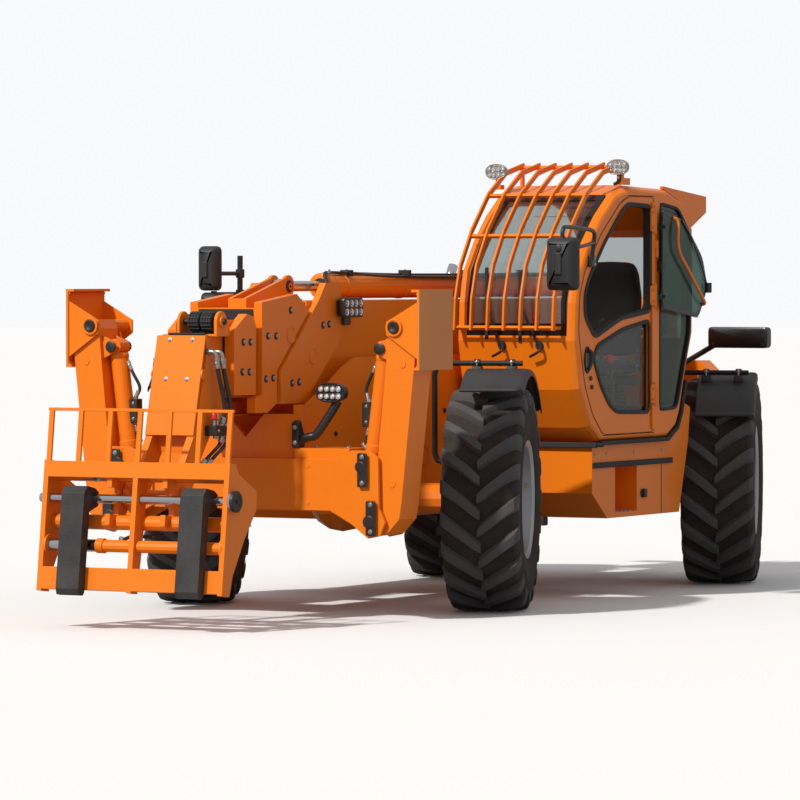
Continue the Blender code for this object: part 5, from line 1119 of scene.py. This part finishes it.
def operator_seat():
    """Padded cushion and back over a bellows base with armrests and a belt."""
    work = Work()
    rows = []
    for k in range(15):
        t = k / 14
        y = -0.075 + 0.47 * t
        edge = min(1.0, math.sin(math.pi * min(max(t * 3.2, 0.05), 0.5)),
            math.sin(math.pi * min(max((1 - t) * 3.2, 0.05), 0.5)))
        groove = 0.007 * math.exp(-((t - 0.62) / 0.035) ** 2)
        rows.append(((0.7, y, 1.335 - groove), 0.222 * (0.86 + 0.14 * edge), 0.052 * edge, (0, 0, 1)))
    cushion(work, rows)
    rows = []
    lean = Vector((0, 0.18, 1)).normalized()
    out = Vector((0, -1, 0.18)).normalized()
    for k in range(19):
        t = k / 18
        centre = Vector((0.7, 0.375, 1.395)) + lean * (0.57 * t)
        edge = min(1.0, math.sin(math.pi * min(max(t * 4, 0.05), 0.5)),
            math.sin(math.pi * min(max((1 - t) * 4, 0.05), 0.5)))
        groove = 0.007 * (math.exp(-((t - 0.3) / 0.03) ** 2) + math.exp(-((t - 0.68) / 0.03) ** 2))
        wide = 0.212 * (0.84 + 0.16 * edge) * (1 - 0.22 * max(0, t - 0.6) / 0.4)
        rows.append((centre - out * groove, wide, 0.05 * edge, out))
    cushion(work, rows)
    made = work.done("seat_padding", "root", round_off=1)

    work = Work()
    work.block((0.5, 0.02, 0.955), (0.9, 0.36, 0.99), "trim_plastic", 0.015)
    for k in range(6):
        z = 0.99 + k * 0.038
        outline = rounded(rectangle((0.53 + 0.006 * (k % 2), 0.05), (0.87 - 0.006 * (k % 2), 0.34)), 0.03)
        work.plate("Z", outline, z, z + 0.034, "seal_rubber", 0.012)
    work.block((0.485, -0.05, 1.225), (0.915, 0.385, 1.285), "trim_plastic", 0.02)
    for x in (0.465, 0.935):
        work.block((x - 0.03, 0.0, 1.52), (x + 0.03, 0.36, 1.56), "trim_plastic", 0.02)
        work.block((x - 0.012, 0.33, 1.3), (x + 0.012, 0.37, 1.53), "trim_plastic", 0.008)
    work.tube([(0.56, 0.3, 1.55), (0.6, 0.1, 1.5), (0.72, -0.02, 1.4), (0.84, 0.1, 1.4)], 0.004,
        "red_plastic", 8)
    work.done("seat_base", "root")
    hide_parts("seat")


def steering_console():
    """Steering wheel, column and consoles with their levers and buttons."""
    work = Work()
    work.block((0.6, -0.41, 0.952), (0.8, -0.27, 1.14), "trim_plastic", 0.02)
    work.block((0.53, -0.56, 1.11), (0.87, -0.29, 1.22), "trim_plastic", 0.03)
    work.rod((0.7, -0.42, 1.14), (0.7, -0.275, 1.49), 0.034, "trim_plastic", 24)
    tilt = Vector((0, 0.16, 0.42)).normalized()
    across, down = Vector((1, 0, 0)), tilt.cross(Vector((1, 0, 0)))
    hub = Vector((0.7, -0.26, 1.52))
    ring = []
    for k in range(49):
        a = 2 * math.pi * k / 48
        ring.append(hub + (across * math.cos(a) + down * math.sin(a)) * 0.178)
    loops = []
    for k in range(48):
        outward = (ring[k] - hub).normalized()
        loops.append([ring[k] + (outward * math.cos(a) + tilt * math.sin(a)) * 0.014
            for a in (2 * math.pi * i / 10 for i in range(10))])
    work.loft(loops, "trim_plastic", ring=True)
    for k in range(3):
        a = 2 * math.pi * k / 3 + math.pi / 2
        end = hub + (across * math.cos(a) + down * math.sin(a)) * 0.172
        work.tube([hub, (hub + end) / 2 - tilt * 0.008, end], 0.01, "trim_plastic", 8)
    work.lathe(hub - tilt * 0.012, tilt, [(0, 0.03), (0.01, 0.045), (0.022, 0.042), (0.028, 0.02)],
        "trim_plastic", 28)
    work.tube([(0.66, -0.3, 1.44), (0.58, -0.27, 1.47), (0.54, -0.25, 1.49)], 0.006, "seal_rubber", 8)
    work.done("steering_wheel_and_console", "root", stands_for="steering_console")

    work = Work()
    work.block((0.385, -0.4, 0.955), (0.475, 0.4, 1.5), "trim_plastic", 0.025)
    work.tube([(0.44, 0.02, 1.49), (0.445, 0.0, 1.56), (0.45, -0.02, 1.6)], 0.01, "seal_rubber", 10)
    work.lathe((0.45, -0.02, 1.585), (0.1, -0.2, 1),
        [(0, 0.014), (0.02, 0.022), (0.06, 0.026), (0.09, 0.02), (0.098, 0.008)], "red_plastic", 20)
    for y in (-0.22, -0.28, -0.34):
        work.rod((0.43, y, 1.5), (0.43, y, 1.512), 0.014, "red_plastic" if y == -0.22 else "dark_bolt", 14)
    work.block((0.4, -0.7, 1.28), (1.0, -0.6, 1.44), "trim_plastic", 0.03)
    work.tube([(0.98, -0.1, 0.96), (0.985, -0.1, 1.2), (0.96, -0.08, 1.37)], 0.008, "dark_bolt", 10)
    work.lathe((0.96, -0.08, 1.36), (-0.1, 0.1, 1),
        [(0, 0.012), (0.016, 0.021), (0.045, 0.021), (0.054, 0.01)], "red_plastic", 20)
    for x in (0.6, 0.78):
        work.block((x - 0.03, -0.58, 1.0), (x + 0.03, -0.55, 1.08), "seal_rubber", 0.006)
    work.done("cab_controls", "root")


# ---------------------------------------------------------------- body, engine side and nose
def body_fittings():
    """The nose and boom lamps, frame bosses, bolts and lines, the tow hitch and the rear grille."""
    work = Work()
    lens = oval((0.536, 1.24), 0.088, 0.053, 36, 0.8)
    work.levels("Y", [(-2.63, inset(lens, 0.02)), (-2.64, inset(lens, 0.004)), (-2.67, lens),
        (-2.694, inset(lens, -0.002)), (-2.699, inset(lens, 0.003)), (-2.694, inset(lens, 0.008))],
        "black_enamel")
    work.diodes((0.536, -2.699, 1.24), 4, 2, (0.036, 0.04), 0.0165)
    work.tube([(0.345, -2.69, 0.965), (0.37, -2.69, 0.988), (0.41, -2.688, 0.998), (0.446, -2.682, 1.012),
        (0.505, -2.664, 1.1), (0.56, -2.645, 1.195)], 0.0245, "black_enamel", 16)
    work.plate("X", rounded([(-2.735, 0.938), (-2.735, 1.075), (-2.7, 1.09), (-2.655, 1.0),
        (-2.655, 0.938)], 0.01), 0.318, 0.36, "black_enamel", 0.004)
    for z in (0.965, 1.05):
        work.bolt((0.34, -2.736, z), (0, -1, 0), 0.01)
    work.done("nose_lamp", "root", stands_for="nose_light")

    work = Work()
    lamp = rounded(rectangle((-2.095, 1.64), (-1.87, 1.752)), 0.02)
    work.levels("X", [(0.24, inset(lamp, 0.02)), (0.262, inset(lamp, 0.004)), (0.28, lamp),
        (0.296, inset(lamp, 0.003))], "black_enamel")
    for column in range(4):
        for row in range(2):
            spot = (0.296, -2.06 + column * 0.053, 1.672 + row * 0.048)
            work.lathe(spot, (1, 0, 0), [(-0.006, 0.02), (0.003, 0.02), (0.003, 0.017), (-0.002, 0.008)],
                "lamp_mirror", 16)
            work.lathe(spot, (1, 0, 0), [(-0.004, 0.008), (0.002, 0.004)], "lamp_diode", 10)
    work.block((0.236, -2.02, 1.6), (0.262, -1.95, 1.68), "black_enamel", 0.006)
    work.done("boom_side_lamp", "boom")

    work = Work()
    for side in (1, -1):
        for x in (0.4, 0.6):
            work.bolt((side * x, -2.6, 0.937), (0, 0, 1), 0.012)
        for x, z in ((0.42, 0.64), (0.42, 0.84), (0.64, 0.84), (0.64, 0.64)):
            work.lathe((side * x, -2.7352, z), (0, -1, 0), [(-0.001, 0.013), (0.002, 0.012), (0.0025, 0.0)],
                "orange_enamel", 16)
        for y in (-1.95, -1.15):
            z = 0.8 if y < -1.5 else 0.85
            work.lathe((side * 0.3, y, z), (side, 0, 0),
                [(-0.001, 0.062), (0.006, 0.06), (0.008, 0.045), (0.004, 0.042), (0.004, 0.0)],
                "orange_enamel", 32)
        for y, z in ((-2.2, 0.7), (-2.2, 1.0), (-0.9, 0.7), (-0.9, 1.1), (1.0, 0.7), (1.0, 1.1)):
            work.bolt((side * 0.3, y, z), (side, 0, 0), 0.012, "dark_bolt")
    for x in (0.05, 0.09, 0.13):
        work.tube([(x, -2.3, 0.62), (x, -1.2, 0.606), (x, 0.2, 0.6), (x, 1.2, 0.62), (x, 2.0, 0.7)], 0.012,
            "hose_rubber", 10, 5)
    for y in (-1.1, -0.2, 0.7):
        work.block((0.03, y - 0.02, 0.585), (0.15, y + 0.02, 0.618), "seal_rubber", 0.004)
    work.done("chassis_fittings", "root")

    work = Work()
    for z in (0.7, 0.95):
        for x in (-0.42, 0.42):
            work.bolt((x, 2.42, z), (0, 1, 0), 0.02, "dark_bolt")
    work.plate("X", [(2.418, 0.66), (2.5, 0.68), (2.5, 0.71), (2.418, 0.73)], -0.07, 0.07, "black_enamel",
        0.004)
    work.plate("X", [(2.418, 0.78), (2.5, 0.8), (2.5, 0.83), (2.418, 0.85)], -0.07, 0.07, "black_enamel",
        0.004)
    work.rod((0, 2.465, 0.62), (0, 2.465, 0.9), 0.018, "zinc", 20)
    work.lathe((0, 2.465, 0.9), (0, 0, 1), [(-0.004, 0.03), (0.012, 0.03), (0.018, 0.022)], "zinc", 24)
    for k in range(5):
        z = 1.02 + k * 0.045
        work.plate("X", [(2.4195, z), (2.432, z + 0.004), (2.432, z + 0.022), (2.4195, z + 0.026)], -0.26,
            0.26, "black_enamel", 0.002)
    work.done("tow_hitch_and_grille", "root")


def engine_fittings():
    """Louvres, latches, seams and the exhaust on the engine's side."""
    work = Work()
    hood_out = -1.06
    frame_line = rounded(rectangle((-0.62, 1.0), (-0.1, 1.27)), 0.03)
    work.band("X", frame_line, inset(frame_line, 0.018), hood_out - 0.006, hood_out + 0.002, "black_enamel")
    for k in range(7):
        z = 1.025 + k * 0.033
        work.plate("Y", [(hood_out + 0.001, z), (hood_out - 0.012, z + 0.006),
            (hood_out - 0.012, z + 0.012), (hood_out + 0.001, z + 0.026)], -0.6, -0.12, "seal_rubber",
            0.002)
    for y in (0.1, 0.58):
        work.block((hood_out - 0.016, y - 0.03, 1.02), (hood_out + 0.001, y + 0.03, 1.1), "seal_rubber",
            0.008)
        work.rod((hood_out - 0.022, y, 1.06), (hood_out - 0.014, y, 1.06), 0.018, "zinc", 20)
    for k in range(9):
        y = -0.6 + k * 0.06
        slot = rounded([(-0.9, y - 0.012), (-0.55, y - 0.012), (-0.55, y + 0.012), (-0.9, y + 0.012)],
            0.011)
        work.plate("Z", slot, 1.4495, 1.4535, "black_enamel", 0.001)
    work.done("hood_louvres_and_latches", "hood")

    work = Work()
    work.tube([(-0.55, 0.775, 1.05), (-0.55, 0.8, 1.1), (-0.55, 0.8, 1.4), (-0.55, 0.8, 1.62)], 0.052,
        "cast_iron", 24)
    work.tube([(-0.55, 0.8, 1.6), (-0.55, 0.8, 1.75), (-0.55, 0.81, 1.86), (-0.55, 0.85, 1.93)], 0.03,
        "hard_chrome", 20)
    for z in (1.16, 1.45):
        work.lathe((-0.55, 0.8, z), (0, 0, 1), [(0, 0.053), (0.002, 0.056), (0.02, 0.056), (0.022, 0.053)],
            "zinc", 28)
    work.block((-0.6, 0.752, 1.1), (-0.5, 0.79, 1.16), "black_enamel", 0.006)
    for y in (-0.6, -0.2, 0.2, 0.6):
        work.bolt((-1.06, y, 0.62), (-1, 0, 0), 0.01)
    work.block((-1.066, -0.74, 0.925), (-1.059, 0.73, 0.94), "seal_rubber", 0.003)
    work.done("exhaust_and_tub_bolts", "root")


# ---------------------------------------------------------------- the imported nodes' finishes
def repaint():
    """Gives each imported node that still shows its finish."""
    plain = {"paint": "orange_enamel", "black_plastic": "moulded_plastic", "black_steel": "black_enamel",
        "tyre": "carcass_rubber", "rim": "rim_silver", "chrome": "hard_chrome", "engine": "cast_iron",
        "glass": "tinted_pane", "seat": "seat_cloth"}
    special = {"left_fork": "fork_steel", "right_fork": "fork_steel", "left_stabiliser_foot": "foot_enamel",
        "right_stabiliser_foot": "foot_enamel"}
    for subpart in frame["record"]["subparts"]:
        name = subpart["node"]
        finish_name = special.get(name, plain[subpart["material_slot"]])
        if name.endswith("_knuckle"):
            finish_name = "knuckle_enamel"
        for socket in frame["nodes"][name].material_slots:
            socket.material = FINISHES[finish_name]


# ---------------------------------------------------------------- stage, light and camera
CAMERA_PLACE, CAMERA_WAY, CAMERA_LENS = (14.555, -27.462, 1.9), (-0.46934, 0.88269, -0.02402), 241.65
SUN_WAY, SUN_ENERGY, SUN_ANGLE = (0.3, 1.0, -0.95), 3.2, math.radians(3)
FLOOR_RADIUS, FLOOR_SIDES = 150, 64
# the share of the floor's colour that lights the machine, and the sky's strength for light and for the camera
FLOOR_LIGHT, SKY_LIGHT, SKY_SEEN = 0.42, 0.5, 0.97


def studio():
    """A pale floor and sky that look white but light the machine softly, a low sun and the camera."""
    floor_look, tree, shader = new_material("pale_floor")
    soft = placed(tree, COLOUR_DRIFT, {"Colour": (0.86, 0.86, 0.86, 1), "Amount": 0.03,
        "Scale": 0.2})["Colour"]
    seen = node(tree, "LightPath").outputs["Is Camera Ray"]
    shade = ranged(tree, seen, to_min=FLOOR_LIGHT, to_max=1.0)
    dimmed = node(tree, "VectorMath", {0: soft, 1: shade}, operation="MULTIPLY").outputs["Vector"]
    tree.links.new(dimmed, shader.inputs["Base Color"])
    shader.inputs["Roughness"].default_value = 0.9
    shader.inputs["Specular IOR Level"].default_value = 0.1
    mesh = bpy.data.meshes.new("floor")
    turns = [2 * math.pi * k / FLOOR_SIDES for k in range(FLOOR_SIDES)]
    rim = [(FLOOR_RADIUS * math.cos(a), FLOOR_RADIUS * math.sin(a), -0.0005) for a in turns]
    mesh.from_pydata(rim, [], [tuple(range(FLOOR_SIDES))])
    mesh.materials.append(floor_look)
    floor = bpy.data.objects.new("floor", mesh)
    bpy.context.scene.collection.objects.link(floor)

    world = bpy.data.worlds.new("studio")
    world.use_nodes = True
    backdrop = world.node_tree.nodes["Background"]
    backdrop.inputs["Color"].default_value = (0.97, 0.98, 1.0, 1)
    seen = node(world.node_tree, "LightPath").outputs["Is Camera Ray"]
    strength = ranged(world.node_tree, seen, to_min=SKY_LIGHT, to_max=SKY_SEEN)
    world.node_tree.links.new(strength, backdrop.inputs["Strength"])
    bpy.context.scene.world = world
    bpy.context.scene.view_settings.view_transform = "Standard"

    key = bpy.data.objects.new("key_light", bpy.data.lights.new("key_light", "SUN"))
    key.data.energy = SUN_ENERGY
    key.data.angle = SUN_ANGLE
    key.data.color = (1.0, 0.97, 0.92)
    key.rotation_mode = "QUATERNION"
    key.rotation_quaternion = Vector(SUN_WAY).to_track_quat("-Z", "Y")
    bpy.context.scene.collection.objects.link(key)

    camera = bpy.data.objects.new("camera", bpy.data.cameras.new("camera"))
    camera.data.lens = CAMERA_LENS
    camera.data.sensor_width = 36
    camera.data.clip_end = 500
    camera.location = CAMERA_PLACE
    camera.rotation_mode = "QUATERNION"
    camera.rotation_quaternion = Vector(CAMERA_WAY).to_track_quat("-Z", "Y")
    bpy.context.scene.collection.objects.link(camera)
    bpy.context.scene.camera = camera


repaint()
wheels()
boom_fittings()
boom_head_fittings()
carriage_fittings()
stabiliser_fittings("left_stabiliser", 1)
stabiliser_fittings("right_stabiliser", -1)
cab_fittings()
cab_door_fittings()
mirrors()
operator_seat()
steering_console()
body_fittings()
engine_fittings()
studio()
